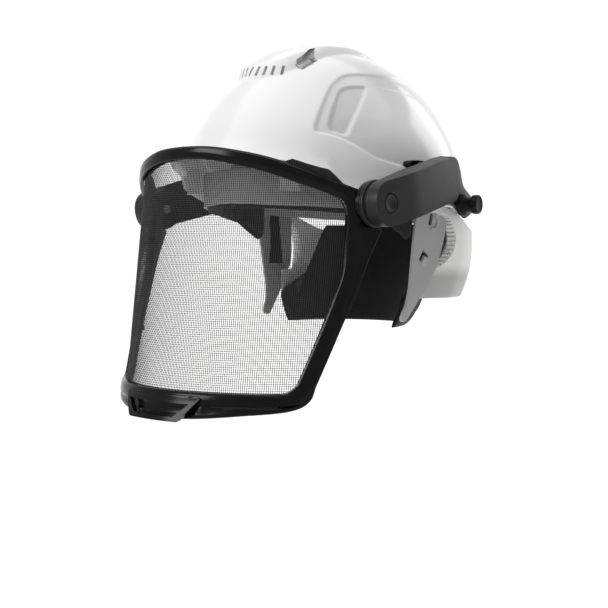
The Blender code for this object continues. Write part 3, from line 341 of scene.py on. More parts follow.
def turned_mesh(name, profile, steps=64, flutes=0, depth=0.0, reach=(0, 1)):
    """Solid turned about Z from (radius, height) points, with flutes cut between the two heights of reach."""
    points = []
    for i in range(steps):
        angle = 2 * math.pi * i / steps
        row = []
        for radius, height in profile:
            fluted = flutes and reach[0] <= height <= reach[1] and radius > 0
            cut_in = depth * (0.5 - 0.5 * math.cos(flutes * angle)) if fluted else 0.0
            reached = max(radius - cut_in, 0)
            row.append((reached * math.cos(angle), reached * math.sin(angle), height))
        points.append(row)
    return finish_closed(grid_mesh(name, np.array(points), closed_across=True), weld=0.001 * MM)


def arc(centre_x, centre_y, radius, start, end, steps):
    points = []
    for i in range(steps + 1):
        angle = lerp(start, end, i / steps) * DEG
        points.append((centre_x + radius * math.cos(angle), centre_y + radius * math.sin(angle)))
    return points


def in_metres(points):
    return [(across * MM, up * MM) for across, up in points]


def outline_mesh(name, outline, holes=()):
    """Flat plate of the outline, from -1 to +1 thick, with its holes."""
    curve = bpy.data.curves.new(name, "CURVE")
    curve.dimensions = "2D"
    curve.fill_mode = "BOTH"
    curve.extrude = 1.0
    for loop in (outline, *holes):
        path = curve.splines.new("POLY")
        path.points.add(len(loop) - 1)
        for point, (x, y) in zip(path.points, loop):
            point.co = (x, y, 0, 1)
        path.use_cyclic_u = True
    work = bpy.data.objects.new(name, curve)
    bpy.context.scene.collection.objects.link(work)
    bpy.context.view_layer.update()
    mesh = bpy.data.meshes.new_from_object(work.evaluated_get(bpy.context.evaluated_depsgraph_get()))
    bpy.data.objects.remove(work)
    bpy.data.curves.remove(curve)
    return mesh


def shaped_plate(name, outline, place, holes=(), folds=()):
    """Plate of an outline, folded where X crosses each of folds, with each point moved to place()."""
    bm = bmesh.new()
    bm.from_mesh(outline_mesh(name, outline, holes))
    bmesh.ops.remove_doubles(bm, verts=bm.verts, dist=0.01 * MM)
    for fold in folds:
        geometry = bm.verts[:] + bm.edges[:] + bm.faces[:]
        bmesh.ops.bisect_plane(bm, geom=geometry, dist=1e-7, plane_co=(fold, 0, 0), plane_no=(1, 0, 0))
    for vert in bm.verts:
        vert.co = place(*vert.co)
    close_outwards(bm)
    return mesh_from(bm, name)


def tube_mesh(name, paths, radius, sides=4):
    """Tubes along lists of points, all in one mesh, each with closed ends."""
    verts, faces = [], []
    for path in paths:
        path = np.asarray(path)
        ahead = np.gradient(path, axis=0)
        ahead /= np.linalg.norm(ahead, axis=1)[:, None]
        helper = np.where(np.abs(ahead[:, 2:3]) > 0.7, [[1.0, 0.0, 0.0]], [[0.0, 0.0, 1.0]])
        first = np.cross(ahead, helper)
        first /= np.linalg.norm(first, axis=1)[:, None]
        second = np.cross(ahead, first)
        base = len(verts)
        for point, a, b in zip(path, first, second):
            for k in range(sides):
                angle = 2 * math.pi * (k + 0.5) / sides
                verts.append(tuple(point + radius * (math.cos(angle) * a + math.sin(angle) * b)))
        for i in range(len(path) - 1):
            for k in range(sides):
                m = (k + 1) % sides
                low, high = base + i * sides, base + (i + 1) * sides
                faces.append((low + k, low + m, high + m, high + k))
        faces.append(tuple(base + k for k in reversed(range(sides))))
        end = base + (len(path) - 1) * sides
        faces.append(tuple(end + k for k in range(sides)))
    mesh = bpy.data.meshes.new(name)
    mesh.from_pydata(verts, [], faces)
    mesh.shade_smooth()
    return mesh


def piece(name, mesh, material, body, replaces=()):
    """Visible piece that rides on a body."""
    mesh.materials.clear()
    mesh.materials.append(material)
    thing = bpy.data.objects.new(name, mesh)
    bpy.context.scene.collection.objects.link(thing)
    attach(thing, body)
    if replaces:
        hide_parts(*replaces)
    return thing


def add_bevel(thing, width, segments=3, angle=38):
    bevel = thing.modifiers.new("edges", "BEVEL")
    bevel.width = width
    bevel.segments = segments
    bevel.limit_method = "ANGLE"
    bevel.angle_limit = angle * DEG
    bevel.harden_normals = False


def cut(thing, mesh, places=(Matrix.Identity(4),), operation="DIFFERENCE"):
    """Boolean with a copy of the mesh at each place, applied at once."""
    bm = bmesh.new()
    for place in places:
        copy = mesh.copy()
        copy.transform(place)
        bm.from_mesh(copy)
        bpy.data.meshes.remove(copy)
    cutter = bpy.data.objects.new("cutter", mesh_from(bm, "cutter"))
    bpy.context.scene.collection.objects.link(cutter)
    boolean = thing.modifiers.new("cut", "BOOLEAN")
    boolean.operation = operation
    boolean.object = cutter
    boolean.solver = "EXACT"
    settle(thing)
    bpy.data.objects.remove(cutter)


def settle(thing):
    """Apply every modifier of a piece to its mesh."""
    bpy.context.view_layer.update()
    graph = bpy.context.evaluated_depsgraph_get()
    mesh = bpy.data.meshes.new_from_object(thing.evaluated_get(graph))
    thing.modifiers.clear()
    old = thing.data
    thing.data = mesh
    bpy.data.meshes.remove(old)


def outwards(side, y, z):
    """Frame whose Z axis lies along +X on the left side and -X on the right."""
    return Matrix.Translation((0, y, z)) @ Matrix.Rotation(side * math.pi / 2, 4, "Y")


def moved(mesh, place):
    mesh.transform(place)
    return mesh


def side_name(side):
    return "left" if side > 0 else "right"


# ---------------------------------------------------------------- materials


def new_material(name):
    material = bpy.data.materials.new(name)
    material.use_nodes = True
    nodes = material.node_tree.nodes
    links = material.node_tree.links
    return material, nodes, links, nodes["Principled BSDF"]


def fill_in(node, **values):
    """Values for the node's inputs, whose names are written with _ for each space."""
    for name, value in values.items():
        node.inputs[name.replace("_", " ")].default_value = value


def noise(nodes, links, coords, scale, detail=3.0):
    texture = nodes.new("ShaderNodeTexNoise")
    fill_in(texture, Scale=scale, Detail=detail)
    links.new(coords.outputs["Object"], texture.inputs["Vector"])
    return texture.outputs["Fac"]


def ranged(nodes, links, value, low, high, start=0.0, end=1.0):
    node = nodes.new("ShaderNodeMapRange")
    fill_in(node, From_Min=start, From_Max=end, To_Min=low, To_Max=high)
    links.new(value, node.inputs["Value"])
    return node.outputs["Result"]


def tinted(nodes, links, colour, share, low, high):
    """The colour made darker or lighter as share goes from 0 to 1."""
    ramp = nodes.new("ShaderNodeMix")
    ramp.data_type = "RGBA"
    ramp.inputs[6].default_value = (*[min(c * low, 1) for c in colour], 1)
    ramp.inputs[7].default_value = (*[min(c * high, 1) for c in colour], 1)
    links.new(share, ramp.inputs[0])
    return ramp.outputs[2]


def bumped(nodes, links, shader, height, distance):
    bump = nodes.new("ShaderNodeBump")
    fill_in(bump, Distance=distance)
    links.new(height, bump.inputs["Height"])
    links.new(bump.outputs["Normal"], shader.inputs["Normal"])


def recolour(material, share, colour):
    """Blend the material's base colour towards another one as share goes from 0 to 1."""
    nodes = material.node_tree.nodes
    links = material.node_tree.links
    shader = nodes["Principled BSDF"]
    blend = nodes.new("ShaderNodeMix")
    blend.data_type = "RGBA"
    links.new(share, blend.inputs[0])
    links.new(shader.inputs["Base Color"].links[0].from_socket, blend.inputs[6])
    blend.inputs[7].default_value = (*colour, 1)
    links.new(blend.outputs[2], shader.inputs["Base Color"])


def grey(share):
    return (share, share, share)


def plastic(name, colour, roughness, grain=700, relief=0.02 * MM, mottle=0.04, coat=0.0, wear=0.0,
            specular=0.5):
    """Moulded plastic: a fine grain, uneven gloss, faint mottling and paler worn edges."""
    material, nodes, links, shader = new_material(name)
    coords = nodes.new("ShaderNodeTexCoord")
    mottling = ranged(nodes, links, noise(nodes, links, coords, 28), 0, 1, 0.3, 0.7)
    links.new(tinted(nodes, links, colour, mottling, 1 - mottle, 1 + mottle), shader.inputs["Base Color"])
    if wear:
        geometry = nodes.new("ShaderNodeNewGeometry")
        edge = ranged(nodes, links, geometry.outputs["Pointiness"], 0, wear, 0.52, 0.62)
        recolour(material, edge, [min(c * 2.5 + 0.03, 1) for c in colour])
    gloss = noise(nodes, links, coords, 90)
    rough = ranged(nodes, links, gloss, 0.92 * roughness, 1.08 * roughness, 0.3, 0.7)
    links.new(rough, shader.inputs["Roughness"])
    fill_in(shader, Specular_IOR_Level=specular, Coat_Weight=coat, Coat_Roughness=0.08)
    bumped(nodes, links, shader, noise(nodes, links, coords, grain, 2), relief)
    return material


def metal(name, colour, roughness):
    material, nodes, links, shader = new_material(name)
    coords = nodes.new("ShaderNodeTexCoord")
    streaks = nodes.new("ShaderNodeMapping")
    fill_in(streaks, Scale=(1, 1, 12))
    links.new(coords.outputs["Object"], streaks.inputs["Vector"])
    brushed = nodes.new("ShaderNodeTexNoise")
    fill_in(brushed, Scale=400)
    links.new(streaks.outputs["Vector"], brushed.inputs["Vector"])
    links.new(tinted(nodes, links, colour, brushed.outputs["Fac"], 0.85, 1.1), shader.inputs["Base Color"])
    links.new(ranged(nodes, links, brushed.outputs["Fac"], roughness * 0.8, roughness * 1.2),
              shader.inputs["Roughness"])
    fill_in(shader, Metallic=1)
    bumped(nodes, links, shader, brushed.outputs["Fac"], 0.01 * MM)
    return material


def woven(name, colour, pitch, relief, dots=False):
    """Woven or knitted cloth: crossing threads, or rows of small dots, with fuzz and shade variation."""
    material, nodes, links, shader = new_material(name)
    coords = nodes.new("ShaderNodeTexCoord")
    waves = []
    for axis in ("X", "Y", "Z"):
        wave = nodes.new("ShaderNodeTexWave")
        wave.wave_type = "BANDS"
        wave.bands_direction = axis
        fill_in(wave, Scale=0.314 / pitch, Distortion=0.3, Detail_Scale=40)
        links.new(coords.outputs["Object"], wave.inputs["Vector"])
        waves.append(wave.outputs["Fac"])
    crossed = waves[2]
    for other in waves[:2]:
        joined = nodes.new("ShaderNodeMath")
        joined.operation = "MULTIPLY" if dots else "MAXIMUM"
        links.new(crossed, joined.inputs[0])
        links.new(other, joined.inputs[1])
        crossed = joined.outputs[0]
    links.new(tinted(nodes, links, colour, crossed, 0.55, 1.35), shader.inputs["Base Color"])
    fuzz = nodes.new("ShaderNodeMath")
    fuzz.operation = "ADD"
    links.new(crossed, fuzz.inputs[0])
    links.new(ranged(nodes, links, noise(nodes, links, coords, 900), 0, 0.6), fuzz.inputs[1])
    bumped(nodes, links, shader, fuzz.outputs[0], relief)
    fill_in(shader, Roughness=0.9, Specular_IOR_Level=0.2, Sheen_Weight=0.15, Sheen_Roughness=0.5)
    return material


def shell_plastic():
    """Glossy white shell with painted shade: greyer the deeper its side panels sink."""
    material = plastic("shell_white_gloss", grey(0.82), 0.22, grain=60, relief=0.02 * MM, mottle=0.01,
                       coat=0.35)
    panel = material.node_tree.nodes.new("ShaderNodeVertexColor")
    panel.layer_name = "panel"
    # painted shade: the base colour greys towards 0.60 where the side panels sink deepest
    recolour(material, panel.outputs["Color"], grey(0.60))
    return material


def cradle_plastic():
    """White plastic with painted shade: greyer low down, where the cradle lies in shadow."""
    material = plastic("cradle_white", (0.82, 0.82, 0.81), 0.4, grain=500, mottle=0.02)
    nodes = material.node_tree.nodes
    links = material.node_tree.links
    coords = nodes.new("ShaderNodeTexCoord")
    place = nodes.new("ShaderNodeSeparateXYZ")
    links.new(coords.outputs["Object"], place.inputs[0])
    shaded_low_down = ranged(nodes, links, place.outputs["Z"], 1, 0, *CRADLE_SHADE_Z)
    # painted shade: the base colour fades to grey between 46 and 56 mm below the middle height
    recolour(material, shaded_low_down, (0.46, 0.46, 0.455))
    return material


def make_materials():
    return {
        "shell": shell_plastic(),
        "cradle": cradle_plastic(),
        "strap": plastic("strap_grey", grey(0.34), 0.38, grain=600, mottle=0.03, wear=0.4),
        "inner": plastic("inner_grey", grey(0.36), 0.5, grain=600, mottle=0.05, wear=0.4),
        "gloss": plastic("visor_black_gloss", (0.003, 0.003, 0.0033), 0.19, grain=300, relief=0.008 * MM,
                         mottle=0.2, wear=0.1, specular=0.2),
        "matt": plastic("black_matt", grey(0.006), 0.5, grain=1400, relief=0.03 * MM, mottle=0.2,
                        wear=0.2, specular=0.15),
        "charcoal": plastic("arm_charcoal", (0.012, 0.012, 0.0125), 0.42, grain=1600, relief=0.035 * MM,
                            mottle=0.08, wear=0.25, specular=0.3),
        "wire": plastic("mesh_black", grey(0.014), 0.45, grain=2000, mottle=0.3),
        "foam": woven("brow_foam", (0.035, 0.035, 0.036), 1.2 * MM, 0.25 * MM, dots=True),
        "padding": woven("pad_fabric", grey(0.012), 1.4 * MM, 0.2 * MM),
        "dotted": woven("sweatband_fabric", grey(0.022), 2.2 * MM, 0.3 * MM, dots=True),
        "webbing": woven("crown_webbing", grey(0.42), 0.9 * MM, 0.2 * MM),
        "steel": metal("pin_steel", grey(0.55), 0.32),
    }


# ---------------------------------------------------------------- helmet


def crest_rise(x, y):
    """How far the crest stands above the dome, over a plan position."""
    outline = CREST_PLAN + [(-ax, ay) for ax, ay in reversed(CREST_PLAN[1:])]
    inside = distance_inside(x / MM, y / MM, rounded_outline(outline))
    height = lerp(8.5, 4.5, smooth(-62 * MM, 0, y)) * (1 - smooth(25 * MM, 85 * MM, y))
    climb = np.clip(inside / 6.5, 0, 1)
    return height * (1 - (1 - climb) ** 2) * MM


def panel_sink(y, z):
    """How deep the side panel lies below the dome, over a position seen from the side."""
    y = y / MM
    z = z / MM
    outer = smooth(-0.3, 1.7, distance_inside(y, z, rounded_outline(PANEL)))
    dish = smooth(-0.3, 1.9, distance_inside(y, z, rounded_outline(DISH)))
    bulge = smooth(-0.3, 1.8, distance_inside(y, z, rounded_outline(BULGE))) * smooth(-22, 6, y)
    soft = smooth(0, 30, distance_inside(y, z, BULGE))
    return (1.5 * outer + 1.4 * dish - 0.5 * bulge - 1.0 * soft) * MM


def shell_points(columns, rows):
    """Outer surface of the shell as a grid from the rim to near the top."""
    heading = np.linspace(-math.pi, math.pi, columns, endpoint=False)[:, None]
    rise = np.linspace(0, 1, rows, endpoint=False)[None, :]
    rim = along(RIM_STATIONS, np.abs(heading) / DEG) * MM
    start = np.arcsin(rim / SHELL_HEIGHT)
    lift = lerp(start, math.pi / 2, rise)
    z = SHELL_HEIGHT * np.sin(lift)
    reach = lerp(RIM_REACH, BRIM_REACH, (1 - smooth(0, 62 * DEG, np.abs(heading))) ** 1.3)
    reach = reach * np.exp((rim - z) / RIM_ROLL)
    x = np.sin(heading) * (SHELL_HALF_WIDTH * np.cos(lift) + reach)
    y = SHELL_CENTRE_Y - np.cos(heading) * (SHELL_HALF_LENGTH * np.cos(lift) + reach)
    normal = np.stack([x / SHELL_HALF_WIDTH ** 2, (y - SHELL_CENTRE_Y) / SHELL_HALF_LENGTH ** 2,
                       z / SHELL_HEIGHT ** 2], axis=-1)
    normal /= np.linalg.norm(normal, axis=-1)[..., None]
    points = np.stack([x, y, z], axis=-1) - normal * panel_sink(y, z)[..., None]
    points[..., 2] += crest_rise(x, y)
    return points


def slot_place(number):
    """Middle of a slot in the crest's front flank, facing out of it and leaning outwards at the top."""
    x = number * SLOT_PITCH
    y = along(SLOT_FRONT, abs(x) / MM) * MM
    turn = math.copysign(along(SLOT_TURN, abs(x) / MM), number) * DEG
    place = Matrix.Translation((x, y, SLOT_HEIGHT_AT)) @ Matrix.Rotation(turn, 4, "Z")
    return place @ Matrix.Rotation(math.copysign(SLOT_LEAN, number), 4, "Y")


def scoop_mesh(side, wall=0.0):
    """Wedge cut out of the crest's flank, shallow in front and ending at an upright wall behind."""
    middle_y = sum(y for y, z in SCOOP_OUTLINE) / len(SCOOP_OUTLINE)
    middle_z = sum(z for y, z in SCOOP_OUTLINE) / len(SCOOP_OUTLINE)
    outline = []
    for y, z in SCOOP_OUTLINE:
        reach = math.hypot(y - middle_y, z - middle_z)
        grow = 1 + wall / reach
        outline.append(((middle_y + (y - middle_y) * grow) * MM, (middle_z + (z - middle_z) * grow) * MM))
    def place(y, z, layer):
        inner = lerp(*SCOOP_DEPTH_X, (y - SCOOP_FRONT_Y) / SCOOP_LENGTH) - wall * MM
        return Vector((side * (inner if layer < 0 else SCOOP_MOUTH_X), y, z))
    return shaped_plate("scoop", outline, place)


def dome_solid(depth):
    """Closed solid under the shell's surface, down to a point below the rim."""
    points = shell_points(240, 84)
    centre = np.array([0, SHELL_CENTRE_Y, 0])
    away = (points - centre) / np.linalg.norm(points - centre, axis=-1)[..., None]
    points = points - away * depth
    foot = np.tile([0, SHELL_CENTRE_Y, -60 * MM], (240, 1, 1))
    crown = np.tile(points[:, -1:].mean(axis=0), (240, 1, 1))
    return finish_closed(grid_mesh("dome", np.concatenate([foot, points, crown], axis=1), closed_across=True),
                         weld=0.001 * MM)


def make_scoop_liner(side, materials):
    """White walls of the vent recess, inside the shell."""
    name = side_name(side) + "_scoop_liner"
    liner = piece(name, scoop_mesh(side, SCOOP_LINER), materials["cradle"], "helmet")
    cut(liner, dome_solid(1.2 * MM), operation="INTERSECT")
    cut(liner, scoop_mesh(side))
    cut(liner, slider_room(), [slider_frame(side)])
    crisp(liner.data, 30)


def slider_room():
    """Space that the slider passes through, from one end of its travel to the other."""
    half = Vector(SLIDER_SIZE) / 2 + Vector((0.5, 0.5, 0.4)) * MM
    return box_mesh("slider_room", -half, half + Vector((0, SLIDER_TRAVEL, 0)))


def slider_frame(side):
    """Place and axes of the slider beside the crest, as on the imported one."""
    low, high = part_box(side_name(side) + "_vent_slider")
    out = Vector((side * 0.3555, -0.4067, 0.8415)).normalized()
    uphill = Vector((-side * 0.0044, 0.8996, 0.4367)).normalized()
    frame_axes = Matrix((uphill.cross(out), uphill, out)).transposed().to_4x4()
    return Matrix.Translation((low + high) / 2) @ frame_axes


def make_shell(materials):
    points = shell_points(SHELL_COLUMNS, SHELL_ROWS)
    mesh = grid_mesh("helmet_shell_skin", points, closed_across=True)
    bm = bmesh.new()
    bm.from_mesh(mesh)
    top_ring = [edge for edge in bm.edges if edge.is_boundary and edge.verts[0].co.z > 0.1]
    bmesh.ops.edgeloop_fill(bm, edges=top_ring)
    bmesh.ops.recalc_face_normals(bm, faces=bm.faces)
    bm.to_mesh(mesh)
    bm.free()
    mesh.shade_smooth()
    shell = piece("helmet_shell_skin", mesh, materials["shell"], "helmet", ["helmet_shell"])
    wall = shell.modifiers.new("wall", "SOLIDIFY")
    wall.thickness = SHELL_WALL
    wall.offset = -1
    settle(shell)
    finish_closed(shell.data)
    half = Vector(SLOT_SIZE) / 2
    slots = [slot_place(number) for number in range(-SLOT_PAIRS, SLOT_PAIRS + 1)]
    cut(shell, box_mesh("vent_slot", -half, half), slots)
    for side in (1, -1):
        cut(shell, scoop_mesh(side))
        cut(shell, slider_room(), [slider_frame(side)])
        make_scoop_liner(side, materials)
        cut(shell, slot_plate("accessory_slot", side, 1.0, (-12, 12)))
        make_slot_adapter(side, materials)
    crisp(shell.data, 38)
    paint_panel_shade(shell)


def slot_middle(side):
    """Middle of the accessory slot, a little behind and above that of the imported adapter."""
    low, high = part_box(side_name(side) + "_slot_adapter")
    return (low + high) / 2 + Vector((0, 2.5, 0.8)) * MM


def slot_plate(name, side, size, reach, hole=None):
    """Lens-shaped plate at the accessory slot, from one reach to the other beyond the adapter's middle."""
    middle = slot_middle(side)
    loops = []
    for scale in (size, hole):
        if scale:
            loops.append([(11.4 * MM * scale * math.copysign(abs(c) ** 0.8, c), 3.5 * MM * scale * s)
                          for c, s in arc(0, 0, 1, 0, 352.5, 47)])
    def place(y, z, layer):
        out = lerp(*reach, (layer + 1) / 2) * MM
        return Vector((middle.x + side * out, middle.y + y, middle.z + z))
    return shaped_plate(name, loops[0], place, holes=loops[1:])


def make_slot_adapter(side, materials):
    """Dark socket behind the accessory slot, with a bright spring leaf at its rear end."""
    name = side_name(side)
    socket = slot_plate(name + "_slot_socket", side, 0.94, (-5, 3.4), hole=0.84)
    piece(name + "_slot_socket", socket, materials["matt"], "helmet", [name + "_slot_adapter"])
    floor = slot_plate(name + "_slot_floor", side, 0.83, (-5, -3.6))
    piece(name + "_slot_floor", floor, materials["matt"], "helmet")
    middle = slot_middle(side)
    outline = in_metres([(-0.5, -2.3), (7, -2), (8.4, 0), (7, 2), (3.5, 2.3)])
    def place(y, z, layer):
        out = lerp(-1.5, 4.4, (y / MM + 0.5) / 9) + 0.4 * (layer + 1) / 2
        return middle + Vector((side * out * MM, y, z))
    mesh = shaped_plate(name + "_slot_leaf", outline, place)
    piece(name + "_slot_leaf", mesh, materials["steel"], "helmet")


def paint_panel_shade(shell):
    """Mark how far each point is sunk into the side panels, as the share of painted shade in the shell's own
    material.
    """
    mesh = shell.data
    points = np.empty(len(mesh.vertices) * 3, np.float32)
    mesh.vertices.foreach_get("co", points)
    points = points.reshape(-1, 3)
    # painted shade mask: the deeper the sink, the darker the shell
    sunk = np.clip(panel_sink(points[:, 1], points[:, 2]) / (2.6 * MM), 0, 1)
    layer = mesh.color_attributes.new("panel", "FLOAT_COLOR", "POINT")
    layer.data.foreach_set("color", np.repeat(sunk[:, None], 4, axis=1).astype(np.float32).ravel())


def make_sliders(materials):
    """Ribbed sliders in the vent openings beside the crest."""
    half = Vector(SLIDER_SIZE) / 2
    for side in (1, -1):
        name = side_name(side)
        bm = bmesh.new()
        bm.from_mesh(box_mesh("base", -half, half - Vector((0, 0, 1 * MM))))
        for rib in range(5):
            y = lerp(-half.y + 1.3 * MM, half.y - 1.3 * MM, rib / 4)
            low = Vector((-half.x + 0.4 * MM, y - 0.65 * MM, half.z - 1.2 * MM))
            high = Vector((half.x - 0.4 * MM, y + 0.65 * MM, half.z))
            bm.from_mesh(box_mesh("rib", low, high))
        place = slider_frame(side)
        mesh = moved(mesh_from(bm, name + "_slider_ribbed"), place)
        slider = piece(name + "_slider_ribbed", mesh, materials["strap"], name + "_slider",
                       [name + "_vent_slider"])
        add_bevel(slider, 0.25 * MM, 2)


# ---------------------------------------------------------------- visor


def visor_point(heading, height, depth=0.0):
    """Point on the visor: heading in degrees from the front, height and depth in metres."""
    radius = VISOR_RADIUS - depth
    x = radius * math.sin(heading * DEG)
    y = VISOR_AXIS_Y + VISOR_LEAN * height - radius * math.cos(heading * DEG)
    return Vector((x, y, height))


def loop_point(keys, share):
    half = 2 * share if share <= 0.5 else 2 * (1 - share)
    heading, height = spline(keys, half)
    return Vector((heading if share <= 0.5 else -heading, height * MM))


def frame_section(share):
    """Closed section of the frame at a share of the way round, from the window's inner corner."""
    window = loop_point(WINDOW_KEYS, share)
    rim = loop_point(RIM_KEYS, share)
    wide = (visor_point(*rim) - visor_point(*window)).length / MM
    low = 1 - smooth(-137 * MM, -130 * MM, window.y)
    side_edge = min(11.5, wide - 1.4)
    sides = [(0, 4.0), (0, 1.5), (0.5, 1.0), (4.4, 0.0), (5.2, -0.15), (side_edge - 0.4, -0.15),
             (side_edge, 0.0), (side_edge + 0.5, 0.9), (wide - 0.9, 1.0), (wide - 0.2, 1.3), (wide, 1.9),
             (wide, 3.1), (wide - 0.4, 3.6), (0.4, 4.0)]
    base = [(0, 4.0), (0, 1.2), (0.5, 0.7), (2.0, 0.1), (5.6, 0.0), (6.2, 0.2), (6.9, 1.9), (wide - 6.2, 1.9),
            (wide - 5.6, 0.1), (wide - 5.0, -0.5), (wide - 0.9, -0.5), (wide, 0.3), (wide, 3.4), (0.4, 4.0)]
    points = []
    for (a, da), (b, db) in zip(sides, base):
        out, depth = lerp(a, b, low), lerp(da, db, low)
        heading, height = window.lerp(rim, out / wide)
        if low > 0.5 and depth > 1.0 and 2 < out < wide - 3:
            depth = lerp(0.0, depth, float(recess_share(heading, height)))
        points.append(visor_point(heading, height, depth * MM))
    return points


def recess_share(heading, height):
    """1 in the lower band's glossy recesses, 0 on the solid feet of the lifting bar."""
    x = abs(VISOR_RADIUS * math.sin(heading * DEG)) / MM
    drop = (-139.5 - height / MM) / 10.5
    inner = lerp(31, 19, drop)
    outer = lerp(46, 35, drop)
    return max(smooth(0, 1.5, inner - x), smooth(0, 1.5, x - outer)) * (1 - smooth(78, 96, x))


def make_frame(materials):
    columns = 360
    points = np.array([frame_section(i / columns) for i in range(columns)], float)
    mesh = finish_closed(grid_mesh("visor_frame_skin", points, closed_across=True, closed_up=True))
    skin = piece("visor_frame_skin", mesh, materials["gloss"], "visor", ["visor_frame"])
    low, high = HUB_PLATE_X
    plate = [(0, high), (HUB_PLATE_RADIUS - 0.5 * MM, high), (HUB_PLATE_RADIUS, high - 0.5 * MM),
             (HUB_PLATE_RADIUS, low), (0, low)]
    places = [outwards(side, VISOR_PIVOT_Y, 0) for side in (1, -1)]
    cut(skin, turned_mesh("hub_plate", plate, 72), places, "UNION")
    seat = HUB_PLATE_X[1] - 0.02 * MM
    clear = DISC_RADIUS + 1.2 * MM
    room = [(0, OUTSIDE_X), (clear, OUTSIDE_X), (clear, seat), (HUB_BORE, seat), (HUB_BORE, INSIDE_X),
            (0, INSIDE_X)]
    cut(skin, turned_mesh("hub_room", room, 72), places)
    crisp(skin.data, 30)
    make_grip(materials)
    make_lip_ribs(materials)


def make_grip(materials):
    """Flat-sided lifting loop that leans out of the lower band."""
    outer = [(-39, -137.5), (-26, -153), (-24, -154.3), (24, -154.3), (26, -153), (39, -137.5), (36, -136),
             (-36, -136)]
    hole = [(-31.5, -141.5), (-21, -150.2), (-20, -150.8), (20, -150.8), (21, -150.2), (31.5, -141.5)]
    def place(x, z, layer):
        fall = (-137 * MM - z) / (17 * MM)
        heading = math.asin(x / VISOR_RADIUS) / DEG
        out = lerp(1.6, 6.6, min(max(fall, 0), 1) ** 0.7) * MM
        depth = -out if layer > 0 else -out + lerp(2.6, 3.6, min(max(fall, 0), 1)) * MM
        return visor_point(heading, z, depth)
    folds = [x * 4 * MM for x in range(-9, 10)]
    mesh = shaped_plate("visor_grip", in_metres(outer), place, holes=[in_metres(hole)], folds=folds)
    grip = piece("visor_grip", mesh, materials["gloss"], "visor")
    add_bevel(grip, 0.5 * MM, 2, 50)


def make_lip_ribs(materials):
    """Two fine ribs on the lower lip behind the lifting loop."""
    paths = []
    for height, reach in ((-149.2, 20), (-151.2, 18)):
        span = math.asin(reach * MM / VISOR_RADIUS) / DEG
        headings = [lerp(-span, span, i / 24) for i in range(25)]
        paths.append([tuple(visor_point(heading, height * MM, -0.5 * MM)) for heading in headings])
    mesh = tube_mesh("lip_ribs", paths, 0.6 * MM, 8)
    piece("lip_ribs", mesh, materials["gloss"], "visor")


def inside_mesh(heading, height):
    """Whether a crossing of two wires lies inside the mesh's cut edge."""
    reach = along(MESH_SIDES, height / MM)
    return abs(heading) <= reach and height <= along(MESH_TOP, abs(heading)) * MM


def make_wires(materials):
    """Woven mesh: upright and level wires that pass over and under each other."""
    lift = WIRE_RADIUS * 0.95
    middle = MESH_DEPTH + 0.3 * MM
    step = UPRIGHT_PITCH / VISOR_RADIUS / DEG
    half_count = int(MESH_SIDES[-2][1] / step)
    levels = int((MESH_TOP[0][1] * MM - MESH_FLOOR) / LEVEL_PITCH) + 1
    paths = []
    for i in range(-half_count, half_count + 1):
        path = []
        for j in range(levels):
            height = MESH_FLOOR + j * LEVEL_PITCH
            if inside_mesh(i * step, height):
                path.append(visor_point(i * step, height, middle + (lift if (i + j) % 2 else -lift)))
        if len(path) > 3:
            paths.append(path)
    for j in range(levels):
        height = MESH_FLOOR + j * LEVEL_PITCH
        path = []
        for i in range(-half_count, half_count + 1):
            if not inside_mesh(i * step, height):
                continue
            if path and i - last > 1:
                paths.append(path)
                path = []
            path.append(visor_point(i * step, height, middle - (lift if (i + j) % 2 else -lift)))
            last = i
        if len(path) > 3:
            paths.append(path)
    mesh = tube_mesh("woven_mesh", paths, WIRE_RADIUS, 4)
    piece("woven_mesh", mesh, materials["wire"], "visor", ["visor_mesh"])


def make_retainer(materials):
    def place(across, up, depth):
        window = loop_point(WINDOW_KEYS, across)
        rim = loop_point(RIM_KEYS, across)
        heading, height = window.lerp(rim, 0.5 * up)
        return visor_point(heading, height, RETAINER_DEPTH + 0.05 * MM + depth)
    mesh = shell_between("mesh_retainer_ring", 240, 2, place, RETAINER_WALL, closed=True)
    ring = piece("mesh_retainer_ring", mesh, materials["matt"], "visor", ["mesh_retainer"])
    add_bevel(ring, 0.4 * MM, 2)


def make_brow_seal(materials):
    def place(across, up, depth):
        heading = (2 * across - 1) * SEAL_REACH
        edge = along(TOP_EDGE, abs(heading))
        height = lerp(edge - SEAL_OVERLAP, edge + along(SEAL_RISE, abs(heading)), up)
        return visor_point(heading, height * MM, RETAINER_DEPTH - 0.3 * MM + depth)
    mesh = shell_between("brow_seal_foam", 200, 6, place, RETAINER_WALL)
    seal = piece("brow_seal_foam", mesh, materials["foam"], "visor", ["brow_seal"])
    add_bevel(seal, 0.3 * MM, 2)


# ---------------------------------------------------------------- hinges and arms


def make_disc(side, materials):
    start, end = DISC_X
    thread = HUB_THREAD_END_X
    profile = [(0, SPIGOT_END_X), (SPIGOT_RADIUS - 0.4 * MM, SPIGOT_END_X),
               (SPIGOT_RADIUS, SPIGOT_END_X - 0.4 * MM), (SPIGOT_RADIUS, end),
               (DISC_RADIUS - 1.6 * MM, end), (DISC_RADIUS - 0.8 * MM, end - 0.1 * MM),
               (DISC_RADIUS - 0.1 * MM, end - 0.6 * MM), (DISC_RADIUS, end - 1.2 * MM),
               (DISC_RADIUS, end - 1.5 * MM), (DISC_RADIUS - 0.5 * MM, end - 1.7 * MM),
               (DISC_RADIUS - 0.5 * MM, end - 2.0 * MM), (DISC_RADIUS, end - 2.2 * MM),
               (DISC_RADIUS, start + 0.5 * MM), (DISC_RADIUS - 0.5 * MM, start), (HUB_BORE, start),
               (HUB_BORE, thread), (0, thread)]
    name = side_name(side) + "_hub_disc"
    mesh = moved(turned_mesh(name, profile, 96), outwards(side, VISOR_PIVOT_Y, 0))
    piece(name, mesh, materials["charcoal"], "visor", [side_name(side) + "_hinge_disc"])


